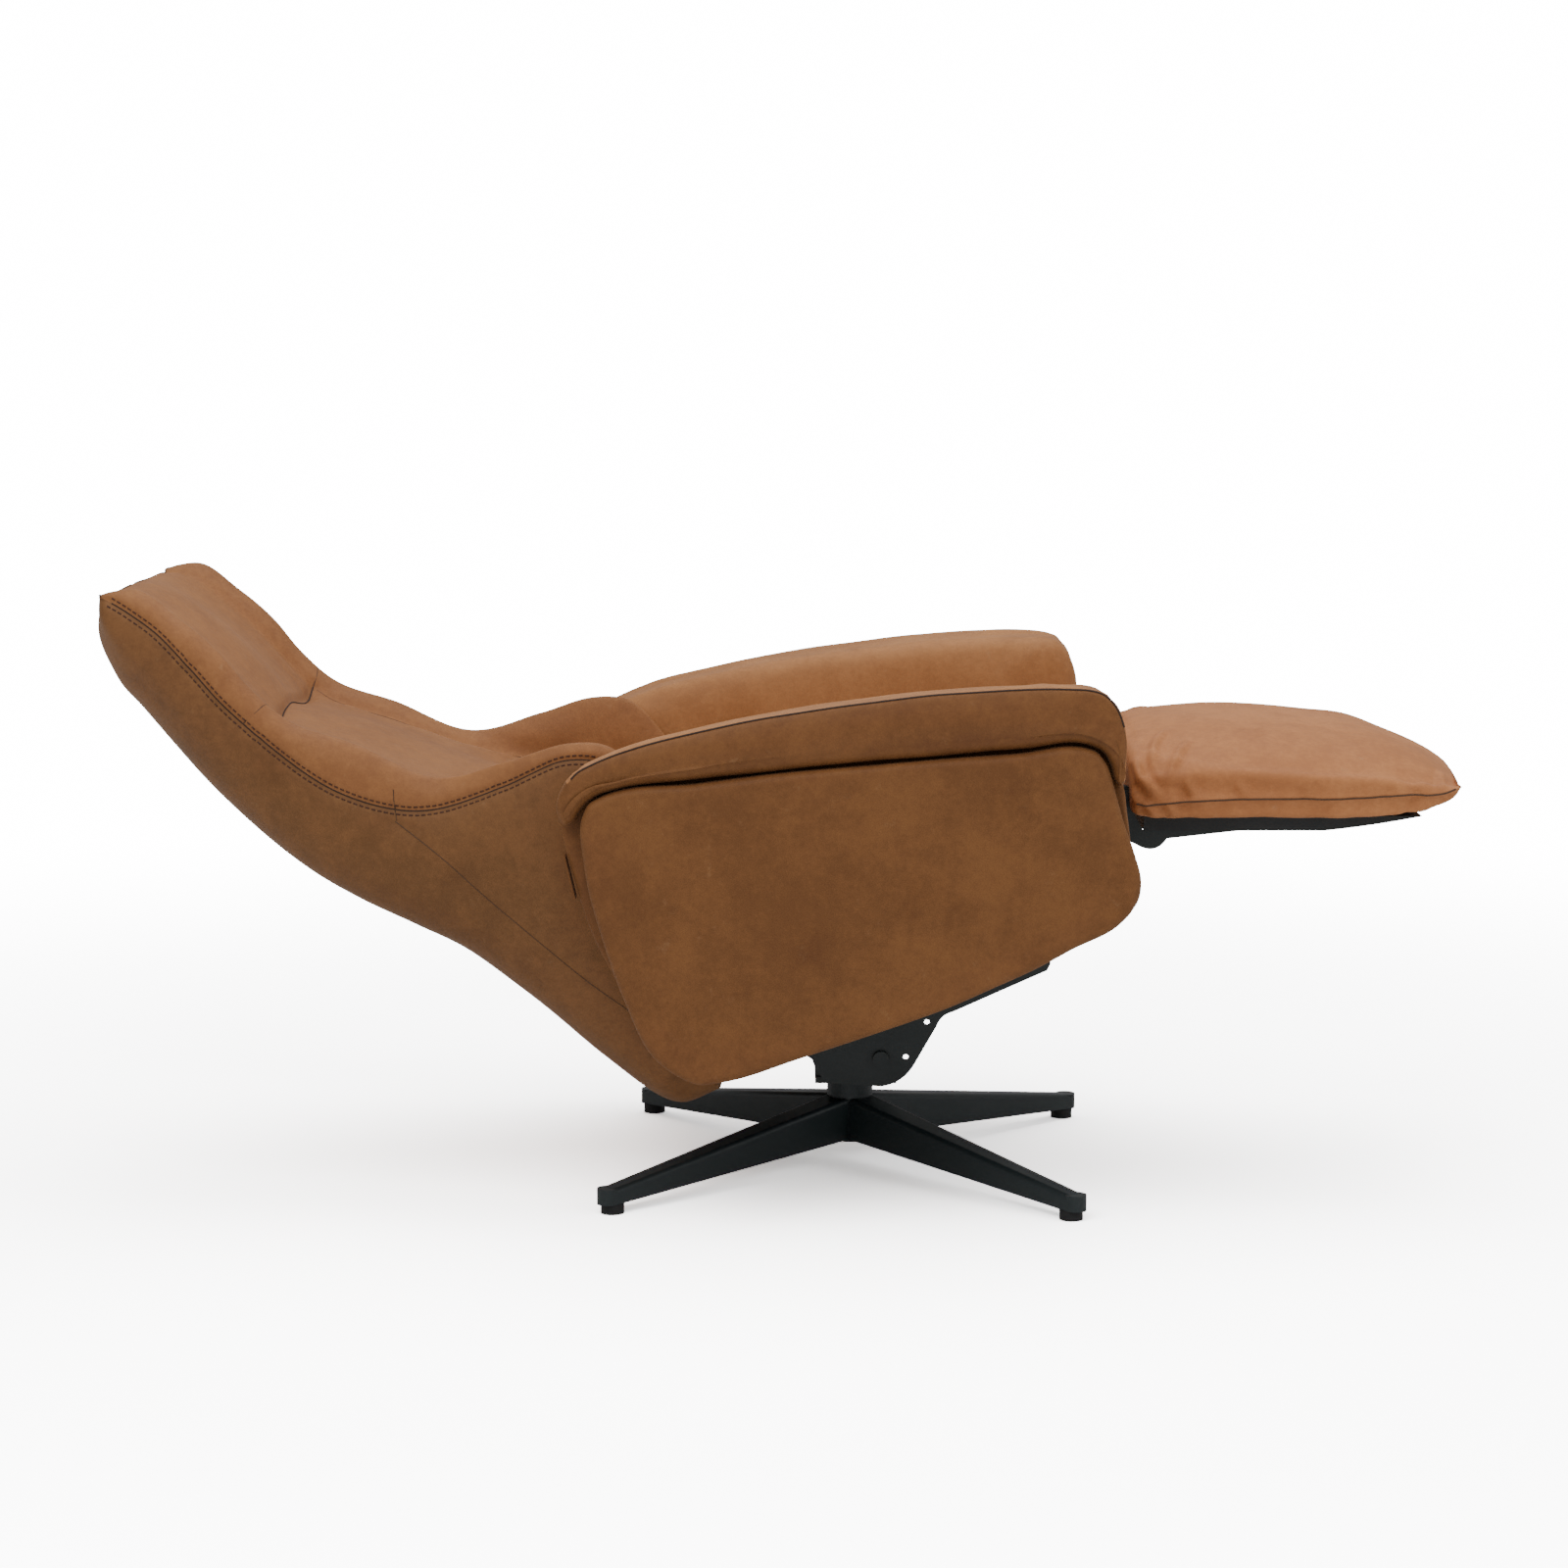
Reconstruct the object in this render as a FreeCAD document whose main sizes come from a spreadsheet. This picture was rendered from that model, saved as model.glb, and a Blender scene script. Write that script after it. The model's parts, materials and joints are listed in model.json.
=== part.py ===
import FreeCAD, Part
import math
import os

# Recliner armchair on a star base, lying back with its footrest out.
# Millimetres. X points to the front of the seat, Y to the sitter's left, Z up.
# The origin is on the floor, on the swivel axis.

V = FreeCAD.Vector
SIDES = (("right", -1), ("left", 1))

DIMENSIONS = (
    # star base and swivel
    ("base_yaw", -3.2, "turn of the star base under the seat, degrees"),
    ("foot_reach", 385.0, "swivel axis to the middle of a glide"),
    ("leg_end_reach", 392.0, "swivel axis to the middle of a leg's rounded end"),
    ("leg_root_reach", 10.0, "swivel axis to the leg's inner section"),
    ("leg_root_wide", 42.0, "leg width at the hub"),
    ("leg_tip_wide", 26.0, "leg width at the tip"),
    ("leg_root_top", 90.0, "height of the leg's top at the hub"),
    ("leg_root_bottom", 36.0, "height of the leg's underside at the hub"),
    ("leg_tip_top", 31.0, "height of the leg's top at the tip"),
    ("glide_high", 12.0, "height of a glide"),
    ("glide_radius", 14.0, "radius of a glide"),
    ("hub_radius", 28.5, "outside of the hub"),
    ("hub_bottom", 35.0, "underside of the hub"),
    ("hub_top", 106.0, "top of the hub"),
    ("bush_outer", 20.0, "outside of the swivel bush"),
    ("spindle_radius", 14.0, "swivel spindle"),
    ("running_gap", 0.05, "radial clearance of every running fit"),
    ("bore_floor", 44.0, "bottom of the hub's blind bore"),
    ("ring_thick", 2.5, "thrust ring between hub and swivel plate"),
    ("web_bottom", 112.0, "underside of the swivel yoke's web"),
    ("web_thick", 6.0, "thickness of the swivel yoke's steel"),
    ("yoke_half", 50.0, "half width of the swivel yoke"),
    # seat tilt
    ("tilt_x", 37.0, "seat tilt axis, forward of the swivel axis"),
    ("tilt_z", 147.0, "height of the seat tilt axis"),
    ("tilt_bolt_radius", 6.0, "seat tilt bolt"),
    ("plate_inner", 63.5, "inner face of a tilt plate from the middle"),
    ("plate_thick", 5.0, "thickness of a tilt plate"),
    # arms and seat
    ("arm_inner", 284.0, "inner face of an arm"),
    ("arm_board_inner", 352.0, "inner face of an arm's plywood board"),
    ("arm_board_thick", 10.0, "thickness of the arm board"),
    ("arm_roll_outer", 387.0, "outer face of the arm pad's roll"),
    ("panel_inner", 362.3, "inner face of a side panel"),
    ("panel_outer", 391.0, "outer face of a side panel"),
    ("rail_inner", 262.0, "inner face of a seat rail"),
    ("rail_outer", 283.7, "outer face of a seat rail"),
    ("seat_half_wide", 279.0, "half width of the seat cushion between the arms"),
    ("seat_half_narrow", 246.0, "half width of the seat cushion between the back's sides"),
    # backrest
    ("back_x", -262.0, "recline axis, behind the swivel axis"),
    ("back_z", 380.0, "height of the recline axis"),
    ("back_roll", 103.0, "radius of the back cushion's lower roll about the recline axis"),
    ("seat_roll", 108.0, "radius of the seat cushion's rear end about the recline axis"),
    ("back_cushion_half", 226.0, "half width of the back cushion"),
    ("back_board_inner", 234.0, "inner face of a back board"),
    ("back_board_outer", 244.0, "outer face of a back board"),
    ("hinge_plate_inner", 244.3, "inner face of a recline hinge plate"),
    ("hinge_plate_outer", 249.3, "outer face of a recline hinge plate"),
    ("gusset_inner", 250.0, "inner face of the back's side gusset"),
    ("gusset_outer", 258.0, "outer face of the back's side gusset"),
    ("wing_inner", 262.0, "inner face of a side wing"),
    ("wing_outer", 278.0, "outer face of a side wing"),
    ("shell_half", 248.0, "half width of the back shell"),
    ("shell_thick", 12.0, "thickness of the back shell"),
    ("stud_radius", 8.0, "recline stud"),
    ("stud_hole", 11.0, "clearance hole around the recline stud"),
    ("stud_flange", 280.0, "inner face of the recline stud's flange"),
    # gas spring between seat and backrest
    ("anchor_x", 150.0, "gas spring's front pin, forward of the swivel axis"),
    ("anchor_z", 262.0, "height of the gas spring's front pin"),
    ("lever", 150.0, "recline axis to the gas spring's rear pin, straight down"),
    ("anchor_pin_radius", 5.0, "gas spring's front pin"),
    ("clevis_pin_radius", 4.0, "gas spring's rear pin"),
    ("eye_bore", 10.8, "bore of the rod's eye, wide because the rear pivot is free"),
    ("spring_tube_radius", 11.0, "outside of the gas spring's tube"),
    ("spring_rod_radius", 5.0, "gas spring's rod"),
    ("ear_inner", 12.0, "inner face of an ear of the rear clevis"),
    ("ear_outer", 16.0, "outer face of an ear of the rear clevis"),
    # headrest
    ("head_x", -712.0, "headrest axis, behind the swivel axis"),
    ("head_z", 541.0, "height of the headrest axis"),
    ("neck_radius", 34.0, "round end of the back cushion at the headrest axis"),
    ("head_gap_radius", 36.0, "hollow end of the headrest about its axis"),
    ("head_arm_inner", 228.0, "inner face of a headrest arm"),
    ("head_arm_outer", 232.0, "outer face of a headrest arm"),
    ("head_side_outer", 256.0, "outer face of a headrest side pad"),
    ("head_pin_radius", 6.0, "headrest pin"),
    # footrest
    ("foot_x", 322.0, "footrest axis, forward of the swivel axis"),
    ("foot_z", 495.0, "height of the footrest axis"),
    ("foot_pad_half", 250.0, "half width of the footrest pad"),
    ("foot_tray_half", 205.0, "half width of the footrest tray"),
    ("foot_hinge_inner", 196.0, "inner face of a footrest hinge plate"),
    ("foot_hinge_outer", 202.0, "outer face of a footrest hinge plate"),
    ("foot_bracket_inner", 188.0, "inner face of a footrest bracket"),
    ("foot_bracket_outer", 194.0, "outer face of a footrest bracket"),
    ("foot_pin_radius", 6.0, "footrest pin"),
)
SIZE = {name: value for name, value, note in DIMENSIONS}
TILT = (SIZE["tilt_x"], SIZE["tilt_z"])
BACK = (SIZE["back_x"], SIZE["back_z"])
HEAD = (SIZE["head_x"], SIZE["head_z"])
FOOT = (SIZE["foot_x"], SIZE["foot_z"])
ANCHOR = (SIZE["anchor_x"], SIZE["anchor_z"])
CLEVIS = (SIZE["back_x"], SIZE["back_z"] - SIZE["lever"])

doc = FreeCAD.newDocument("recliner_armchair")
subparts = []


def write_sheet():
    """Put every driving dimension in a named cell of the sheet."""
    sheet = doc.addObject("Spreadsheet::Sheet", "Dims")
    for row, (name, value, note) in enumerate(DIMENSIONS, start=1):
        sheet.set(f"A{row}", note)
        sheet.set(f"B{row}", str(value))
        sheet.setAlias(f"B{row}", name)
    doc.recompute()


def polar(centre, radius, degrees):
    """The point at a radius and angle about a centre in the side view."""
    turn = math.radians(degrees)
    return (centre[0] + radius * math.cos(turn), centre[1] + radius * math.sin(turn))


class Outline:
    """A closed outline drawn as lines, arcs and smooth curves."""

    def __init__(self, start):
        self.start = V(*start, 0)
        self.here = self.start
        self.edges = []

    def line(self, *points):
        for point in points:
            there = V(*point, 0)
            self.edges.append(Part.LineSegment(self.here, there))
            self.here = there
        return self

    def arc(self, middle, end):
        there = V(*end, 0)
        self.edges.append(Part.Arc(self.here, V(*middle, 0), there))
        self.here = there
        return self

    def arc_about(self, centre, radius, first, last):
        """A straight run to the arc's first angle, then the arc, in degrees."""
        self.line(polar(centre, radius, first))
        return self.arc(polar(centre, radius, (first + last) / 2), polar(centre, radius, last))

    def curve(self, *points):
        through = [self.here] + [V(*point, 0) for point in points]
        spline = Part.BSplineCurve()
        spline.interpolate(through)
        self.edges.append(spline)
        self.here = through[-1]
        return self

    def hole(self, centre, radius):
        circle = Part.Circle(V(*centre, 0), V(0, 0, 1), radius)
        self.edges.append(circle)
        return self

    def close(self):
        if self.here.distanceToPoint(self.start) > 1e-6:
            self.edges.append(Part.LineSegment(self.here, self.start))
        self.here = self.start
        return self


def box_outline(low, high):
    """A rectangle between two corners."""
    return Outline(low).line((high[0], low[1]), high, (low[0], high[1])).close()


def sketch_on(body, role, outline):
    """Draw an outline on one of the body's own origin planes."""
    plane = [item for item in body.Origin.OriginFeatures if item.Role == role][0]
    sketch = body.newObject("Sketcher::SketchObject", body.Name + "_sketch")
    sketch.AttachmentSupport = [(plane, "")]
    sketch.MapMode = "FlatFace"
    for edge in outline.edges:
        sketch.addGeometry(edge, False)
    return sketch


def keep(piece):
    """Count a finished object as a sub-part and give it its label."""
    subparts.append(piece)
    return piece


def new_body(name):
    body = doc.addObject("PartDesign::Body", name)
    body.Label = name
    return body


def pad_side_view(body, outline, width):
    """Pad a side-view outline evenly to both sides of the body's own XZ plane."""
    pad = body.newObject("PartDesign::Pad", body.Name + "_pad")
    pad.Profile = sketch_on(body, "XZ_Plane", outline)
    pad.Midplane = True
    pad.setExpression("Length", width)
    return pad


def across(name, outline, half):
    """A sub-part that reaches the same distance to both sides of the middle."""
    body = new_body(name)
    pad_side_view(body, outline, f"2 * Dims.{half}")
    return keep(body)


def one_side(name, sign, outline, inner, outer):
    """A plate between two distances from the middle, on one side."""
    body = new_body(name)
    pad_side_view(body, outline, f"Dims.{outer} - Dims.{inner}")
    body.setExpression("Placement.Base.y", f"{sign} * (Dims.{inner} + Dims.{outer}) / 2")
    return body


def both_sides(name, outline, inner, outer):
    """Matching sub-parts on the right and the left."""
    return [keep(one_side(f"{name}_{side}", sign, outline, inner, outer)) for side, sign in SIDES]


def pair(name, outline, inner, outer):
    """A matching right and left piece that share one node."""
    return group(name, [one_side(f"{name}_{side}", sign, outline, inner, outer) for side, sign in SIDES])


def rod(name, centre, radius, inner, outer, sign=1):
    """A round bar along Y between two places given as expressions."""
    bar = doc.addObject("Part::Cylinder", name)
    bar.setExpression("Radius", radius)
    bar.setExpression("Height", f"({outer}) - ({inner})")
    bar.Placement = FreeCAD.Placement(V(centre[0], 0, centre[1]), FreeCAD.Rotation(V(1, 0, 0), -90 * sign))
    bar.setExpression("Placement.Base.y", f"{sign} * ({inner})")
    return bar


def post(name, radius, bottom, top):
    """An upright round bar on the swivel axis."""
    bar = doc.addObject("Part::Cylinder", name)
    bar.setExpression("Radius", radius)
    bar.setExpression("Height", f"({top}) - ({bottom})")
    bar.setExpression("Placement.Base.z", bottom)
    return bar


def join(name, pieces):
    """Weld pieces into one solid."""
    fused = doc.addObject("Part::MultiFuse", name)
    fused.Shapes = pieces
    return fused


def cut(name, base, tool):
    remains = doc.addObject("Part::Cut", name)
    remains.Base = base
    remains.Tool = tool
    return remains


def group(name, pieces):
    """Identical separate pieces that share one node."""
    together = doc.addObject("Part::Compound", name)
    together.Links = pieces
    together.Label = name
    return keep(together)


def label(name, piece):
    piece.Label = name
    return keep(piece)


# ---------------------------------------------------------------- star base


def leg_section(body, reach, wide, bottom, top):
    """A leg's cross-section with rounded upper edges, at a distance along the leg."""
    round_edge = 6.0
    half = wide / 2
    corner = round_edge * (1 - math.cos(math.radians(45)))
    outline = Outline((-half, bottom)).line((half, bottom), (half, top - round_edge))
    outline.arc((half - corner, top - corner), (half - round_edge, top))
    outline.line((round_edge - half, top))
    outline.arc((corner - half, top - corner), (-half, top - round_edge)).close()
    section = sketch_on(body, "YZ_Plane", outline)
    section.setExpression("AttachmentOffset.Base.z", reach)
    return section


def star_base():
    """Four tapered legs around a hub with a blind bore from above."""
    legs = new_body("legs")
    root = leg_section(legs, "Dims.leg_root_reach", SIZE["leg_root_wide"],
                       SIZE["leg_root_bottom"], SIZE["leg_root_top"])
    tip = leg_section(legs, "Dims.leg_end_reach", SIZE["leg_tip_wide"],
                      SIZE["glide_high"], SIZE["leg_tip_top"])
    taper = legs.newObject("PartDesign::AdditiveLoft", "leg_taper")
    taper.Profile = root
    taper.Sections = [tip]
    taper.Ruled = True
    tip_circle = Outline((0, 0))
    tip_circle.hole((SIZE["leg_end_reach"], 0), SIZE["leg_tip_wide"] / 2)
    round_end = legs.newObject("PartDesign::Pad", "leg_end")
    round_end.Profile = sketch_on(legs, "XY_Plane", tip_circle)
    round_end.setExpression("Length", "Dims.leg_tip_top - Dims.glide_high")
    round_end.Profile[0].setExpression("AttachmentOffset.Base.z", "Dims.glide_high")
    doc.recompute()
    star = legs.newObject("PartDesign::PolarPattern", "leg_star")
    star.Originals = [taper, round_end]
    star.Axis = ([item for item in legs.Origin.OriginFeatures if item.Role == "Z_Axis"][0], [""])
    star.Angle = 360
    star.Occurrences = 4
    legs.Tip = star
    doc.recompute()
    hub = post("hub", "Dims.hub_radius", "Dims.hub_bottom", "Dims.hub_top")
    bore = post("hub_bore", "Dims.bush_outer", "Dims.bore_floor", "Dims.hub_top + 1")
    base = label("star_base", cut("star_base", join("base_casting", [legs, hub]), bore))
    base.Placement = FreeCAD.Placement(V(0, 0, 0), FreeCAD.Rotation(V(0, 0, 1), 45))
    base.setExpression("Placement.Rotation.Angle", "45 + Dims.base_yaw")


def foot_glides():
    """A low round plastic glide under each leg tip."""
    glides = []
    for number in range(4):
        glide = doc.addObject("Part::Cylinder", f"glide_{number}")
        glide.setExpression("Radius", "Dims.glide_radius")
        glide.setExpression("Height", "Dims.glide_high")
        turn = f"(Dims.base_yaw + {45 + 90 * number}) * 1 deg"
        glide.setExpression("Placement.Base.x", f"Dims.foot_reach * cos({turn})")
        glide.setExpression("Placement.Base.y", f"Dims.foot_reach * sin({turn})")
        glides.append(glide)
    group("foot_glides", glides)


def swivel_bearing():
    """Bush, thrust ring and end cap that stay with the star base."""
    sleeve = post("bush_sleeve", "Dims.bush_outer", "Dims.bore_floor", "Dims.hub_top")
    sleeve_bore = post("bush_bore", "Dims.spindle_radius + Dims.running_gap",
                       "Dims.bore_floor - 1", "Dims.hub_top + 1")
    label("hub_bush", cut("hub_bush", sleeve, sleeve_bore))
    ring = post("ring_disc", "Dims.hub_radius - 1", "Dims.hub_top", "Dims.hub_top + Dims.ring_thick")
    ring_bore = post("ring_bore", "Dims.bush_outer - 3", "Dims.hub_top - 1", "Dims.hub_top + 5")
    label("thrust_ring", cut("thrust_ring", ring, ring_bore))
    label("hub_bottom_cap", post("hub_bottom_cap", "Dims.bush_outer + 4", "Dims.hub_bottom - 4",
                                 "Dims.hub_bottom"))


# ------------------------------------------------------------------- swivel


def swivel_parts():
    """Spindle and the U-shaped yoke that carries the seat's tilt bolt."""
    shaft = post("spindle_shaft", "Dims.spindle_radius", "Dims.bore_floor + 4", "Dims.web_bottom")
    collar = post("spindle_collar", "Dims.hub_radius - 3", "Dims.hub_top + Dims.ring_thick + 0.3",
                  "Dims.web_bottom")
    label("swivel_spindle", join("swivel_spindle", [shaft, collar]))

    ear = 20.0
    yoke_rear = -44.0
    bottom = SIZE["web_bottom"]
    floor = bottom + SIZE["web_thick"]
    side_view = Outline((yoke_rear, bottom)).line((TILT[0] + ear, bottom), (TILT[0] + ear, TILT[1]))
    side_view.arc(polar(TILT, ear, 90), (TILT[0] - ear, TILT[1]))
    side_view.line((TILT[0] - ear - 12, floor + 2), (yoke_rear, floor + 2)).close()
    side_view.hole(TILT, 9.0)
    yoke = new_body("swivel_yoke")
    pad_side_view(yoke, side_view, "2 * Dims.yoke_half")
    inside = SIZE["yoke_half"] - SIZE["web_thick"]
    doc.recompute()
    trough = yoke.newObject("PartDesign::Pocket", "yoke_trough")
    trough.Profile = sketch_on(yoke, "YZ_Plane", box_outline((-inside, floor), (inside, 200.0)))
    trough.Type = "ThroughAll"
    trough.Midplane = True
    keep(yoke)

    bushes = []
    for side, sign in SIDES:
        sleeve = rod(f"tilt_sleeve_{side}", TILT, "9", "Dims.yoke_half - 7", "Dims.yoke_half + 2", sign)
        bore = rod(f"tilt_bore_{side}", TILT, "Dims.tilt_bolt_radius + Dims.running_gap",
                   "Dims.yoke_half - 9", "Dims.yoke_half + 4", sign)
        bushes.append(cut(f"tilt_bush_{side}", sleeve, bore))
    group("tilt_bushes", bushes)

    buffers = []
    for side, sign in SIDES:
        buffer = rod(f"rest_buffer_{side}", (0, 0), "8", "0", "7")
        buffer.Placement = FreeCAD.Placement(V(-30, 28 * sign, 0), FreeCAD.Rotation())
        buffer.setExpression("Placement.Base.z", "Dims.web_bottom + Dims.web_thick")
        buffers.append(buffer)
    group("rest_buffers", buffers)


# ------------------------------------------------------------------ chassis


def seat_underside(x):
    """Height of the seat cushion's underside, which rises to the front."""
    return 435.0 + 0.2157 * (x - 252.0)


def tilt_mechanism():
    """Two steel side plates, their bolt and the cross plate that rests on the buffers."""
    plate = Outline((-48, 146)).curve((-41, 130), (-28, 116)).line((38, 112))
    plate.curve((60, 120), (78, 139)).line((106, 188)).curve((115, 201), (126, 206))
    plate.line((242, 258), (246, 266), (246, 370), (222, 370), (190, 320), (60, 272), (-60, 262))
    plate.line((-116, 288), (-148, 288), (-148, 214)).close()
    plate.hole(TILT, SIZE["tilt_bolt_radius"])
    plate.hole((94, 193), 3.5).hole((68, 149), 3.5)
    for side, sign in SIDES:
        body = keep(one_side(f"tilt_plate_{side}", sign, plate, "plate_inner", "plate_inner"))
        body.Tip.setExpression("Length", "Dims.plate_thick")
        body.setExpression("Placement.Base.y", f"{sign} * (Dims.plate_inner + Dims.plate_thick / 2)")

    outside = "Dims.plate_inner + Dims.plate_thick"
    shank = rod("tilt_shank", TILT, "Dims.tilt_bolt_radius - 0.02", f"0 - ({outside})", outside)
    heads = [rod(f"tilt_head_{side}", TILT, "10", outside, outside + " + 6", sign) for side, sign in SIDES]
    label("tilt_bolt", join("tilt_bolt", [shank] + heads))

    spacers = []
    for side, sign in SIDES:
        sleeve = rod(f"spacer_sleeve_{side}", TILT, "10", "Dims.yoke_half + 2.4", "Dims.plate_inner", sign)
        bore = rod(f"spacer_bore_{side}", TILT, "Dims.tilt_bolt_radius", "Dims.yoke_half",
                   "Dims.plate_inner + 2", sign)
        spacers.append(cut(f"tilt_spacer_{side}", sleeve, bore))
    group("tilt_spacers", spacers)
    across("tilt_cross_plate", box_outline((-44, 125.3), (-18, 138)), "plate_inner")


ARM_BOLTS = ((-92, 275), (50, 325), (192, 385))


def seat_frame():
    """Plywood side rails, cross rails, elastic straps, front board and dust cover."""
    rail = Outline((-150, 210)).curve((-53, 238), (110, 295), (250, 358))
    rail.line((250, seat_underside(250)), (-150, seat_underside(-150))).close()
    for bolt in ARM_BOLTS:
        rail.hole(bolt, 4.1)
    both_sides("seat_rail", rail, "rail_inner", "rail_outer")
    across("seat_cross_rear", box_outline((-148, 288.5), (-116, 336)), "rail_inner")
    across("seat_cross_front", box_outline((218, 370.5), (250, 422)), "rail_inner")

    straps = []
    for number in range(6):
        middle = -95.0 + 58.0 * number
        low = (middle - 22, seat_underside(middle - 22) - 4)
        high = (middle + 22, seat_underside(middle + 22) - 4)
        strap = Outline(low).line(high, (high[0], high[1] + 3), (low[0], low[1] + 3)).close()
        body = new_body(f"seat_strap_{number}")
        pad_side_view(body, strap, "2 * Dims.rail_inner")
        straps.append(body)
    group("seat_straps", straps)

    across("seat_front_board", box_outline((250.5, 372), (261, 504)), "seat_half_wide")
    cover = Outline((-146, 205)).curve((-53, 231), (110, 288), (250, 351))
    cover.line((250, 353)).curve((110, 290), (-53, 233), (-146, 207)).close()
    halves = []
    for side, sign in SIDES:
        body = new_body(f"dust_cover_{side}")
        pad_side_view(body, cover, "Dims.rail_inner - Dims.plate_inner - 8")
        body.setExpression("Placement.Base.y", f"{sign} * (Dims.rail_inner + Dims.plate_inner + 8) / 2")
        halves.append(body)
    group("dust_cover", halves)


def seat_cushion():
    """Thick seat cushion: its rear end is round about the recline axis, its front lip is thin."""
    rear_low, rear_high = -18.0, 40.0
    lip_bottom = 510.0
    lip_rear = 250.0
    front = 318.0
    narrow = Outline(polar(BACK, SIZE["seat_roll"], rear_low))
    narrow.arc(polar(BACK, SIZE["seat_roll"], (rear_low + rear_high) / 2),
               polar(BACK, SIZE["seat_roll"], rear_high))
    narrow.curve((-60, 482), (120, 528), (270, 557), (306, 552), (front, 535))
    narrow.line((front, lip_bottom), (lip_rear, lip_bottom), (lip_rear, seat_underside(lip_rear))).close()
    cushion = across("seat_cushion", narrow, "seat_half_narrow")

    start = -130.0
    wide = Outline((start, seat_underside(start)))
    wide.line((start, 464)).curve((-60, 482), (120, 528), (270, 557), (306, 552), (front, 535))
    wide.line((front, lip_bottom), (lip_rear, lip_bottom), (lip_rear, seat_underside(lip_rear))).close()
    pad = cushion.newObject("PartDesign::Pad", "seat_cushion_wide")
    pad.Profile = sketch_on(cushion, "XZ_Plane", wide)
    pad.Midplane = True
    pad.setExpression("Length", "2 * Dims.seat_half_wide")
    cushion.Tip = pad


def arm_outlines():
    """Side views of the whole arm and of the roll above the panel."""
    top = ((-283, 565), (-196, 590), (-62, 617), (100, 637), (240, 642))
    nose = ((276, 640), (299, 617), (308, 590), (305, 540), (300, 510))
    whole = Outline((-320, 545)).curve(*top).curve(*nose)
    whole.curve((318, 450), (320, 410), (310, 380)).curve((245, 340), (110, 277), (-53, 221), (-180, 186))
    whole.curve((-229, 208), (-265, 277), (-301, 346)).curve((-325, 420), (-341, 492), (-337, 530), (-320, 545))
    roll = Outline((-320, 545)).curve(*top).curve(*nose)
    roll.curve((282, 565), (262, 572)).curve((60, 562), (-184, 538), (-288, 525), (-316, 502), (-337, 480))
    roll.curve((-341, 500), (-337, 530), (-320, 545))
    return whole.close(), roll.close()


def arms():
    """Padded arms with a plywood board and a leather side panel, bolted to the seat rails."""
    whole, roll = arm_outlines()
    panel = Outline((-313, 500)).curve((-306, 510), (-288, 518)).curve((-184, 531), (60, 555), (261, 570))
    panel.curve((282, 556), (295, 519), (317, 451), (325, 420)).curve((323, 397), (312, 380))
    panel.curve((217, 324), (110, 274), (-53, 217), (-180, 182))
    panel.curve((-229, 205), (-265, 277), (-289, 339), (-311, 439), (-313, 500))
    board = Outline((-285, 490)).line((250, 540), (290, 430), (285, 385))
    board.curve((110, 295), (-53, 238), (-170, 208)).curve((-225, 250), (-262, 340), (-285, 440)).close()
    for bolt in ARM_BOLTS:
        whole.hole(bolt, 4.1)
        board.hole(bolt, 4.1)
    both_sides("side_panel", panel, "panel_inner", "panel_outer")
    bolts = []
    for side, sign in SIDES:
        arm = keep(one_side(f"arm_body_{side}", sign, whole, "arm_inner", "arm_board_inner"))
        pad = arm.newObject("PartDesign::Pad", f"arm_roll_{side}")
        sketch = sketch_on(arm, "XZ_Plane", roll)
        pad.Profile = sketch
        sketch.setExpression("AttachmentOffset.Base.z",
                             f"{-sign} * (Dims.arm_board_inner - Dims.arm_inner) / 2")
        pad.setExpression("Length", "Dims.arm_roll_outer - Dims.arm_board_inner")
        pad.Reversed = sign > 0
        arm.Tip = pad
        body = keep(one_side(f"arm_board_{side}", sign, board, "arm_board_inner", "arm_board_inner"))
        body.Tip.setExpression("Length", "Dims.arm_board_thick - 0.4")
        body.setExpression("Placement.Base.y",
                           f"{sign} * (Dims.arm_board_inner + Dims.arm_board_thick / 2)")
        for number, place in enumerate(ARM_BOLTS):
            head = rod(f"arm_bolt_head_{side}_{number}", place, "9", "Dims.rail_inner - 6",
                       "Dims.rail_inner", sign)
            shank = rod(f"arm_bolt_shank_{side}_{number}", place, "4", "Dims.rail_inner",
                        "Dims.arm_board_inner + Dims.arm_board_thick - 1", sign)
            bolts.append(join(f"arm_bolt_{side}_{number}", [head, shank]))
    group("arm_bolts", bolts)
    tag = Outline((-337, 443)).line((-334.5, 443), (-322.5, 393), (-325, 393)).close()
    flap = new_body("arm_tag")
    pad_side_view(flap, tag, "26")
    flap.setExpression("Placement.Base.y", "-(Dims.arm_board_inner - 14)")
    keep(flap)


# ----------------------------------------------------------------- backrest

FRONT_FACE = ((-684, 584), (-590, 548), (-499, 516), (-400, 490))
REAR_LINE = ((-297, 283), (-690, 476))
SHELL_LINE = ((-700, 461), (-607, 400), (-538, 358), (-468, 313), (-399, 258), (-306, 176),
              (-259, 133), (-212, 116), (-170, 134), (-158, 160))
HEAD_SHELL_LINE = ((-890, 716), (-880, 662), (-812, 577), (-767, 523), (-746, 502))


def back_cushion():
    """Back cushion: a lumbar roll about the recline axis and a round neck at the headrest axis."""
    outline = Outline(FRONT_FACE[0]).curve(*FRONT_FACE[1:])
    outline.arc_about(BACK, SIZE["back_roll"], 118, -109)
    outline.line(*REAR_LINE)
    outline.arc_about(HEAD, SIZE["neck_radius"], 240, 60)
    across("back_cushion", outline.close(), "back_cushion_half")


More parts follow.
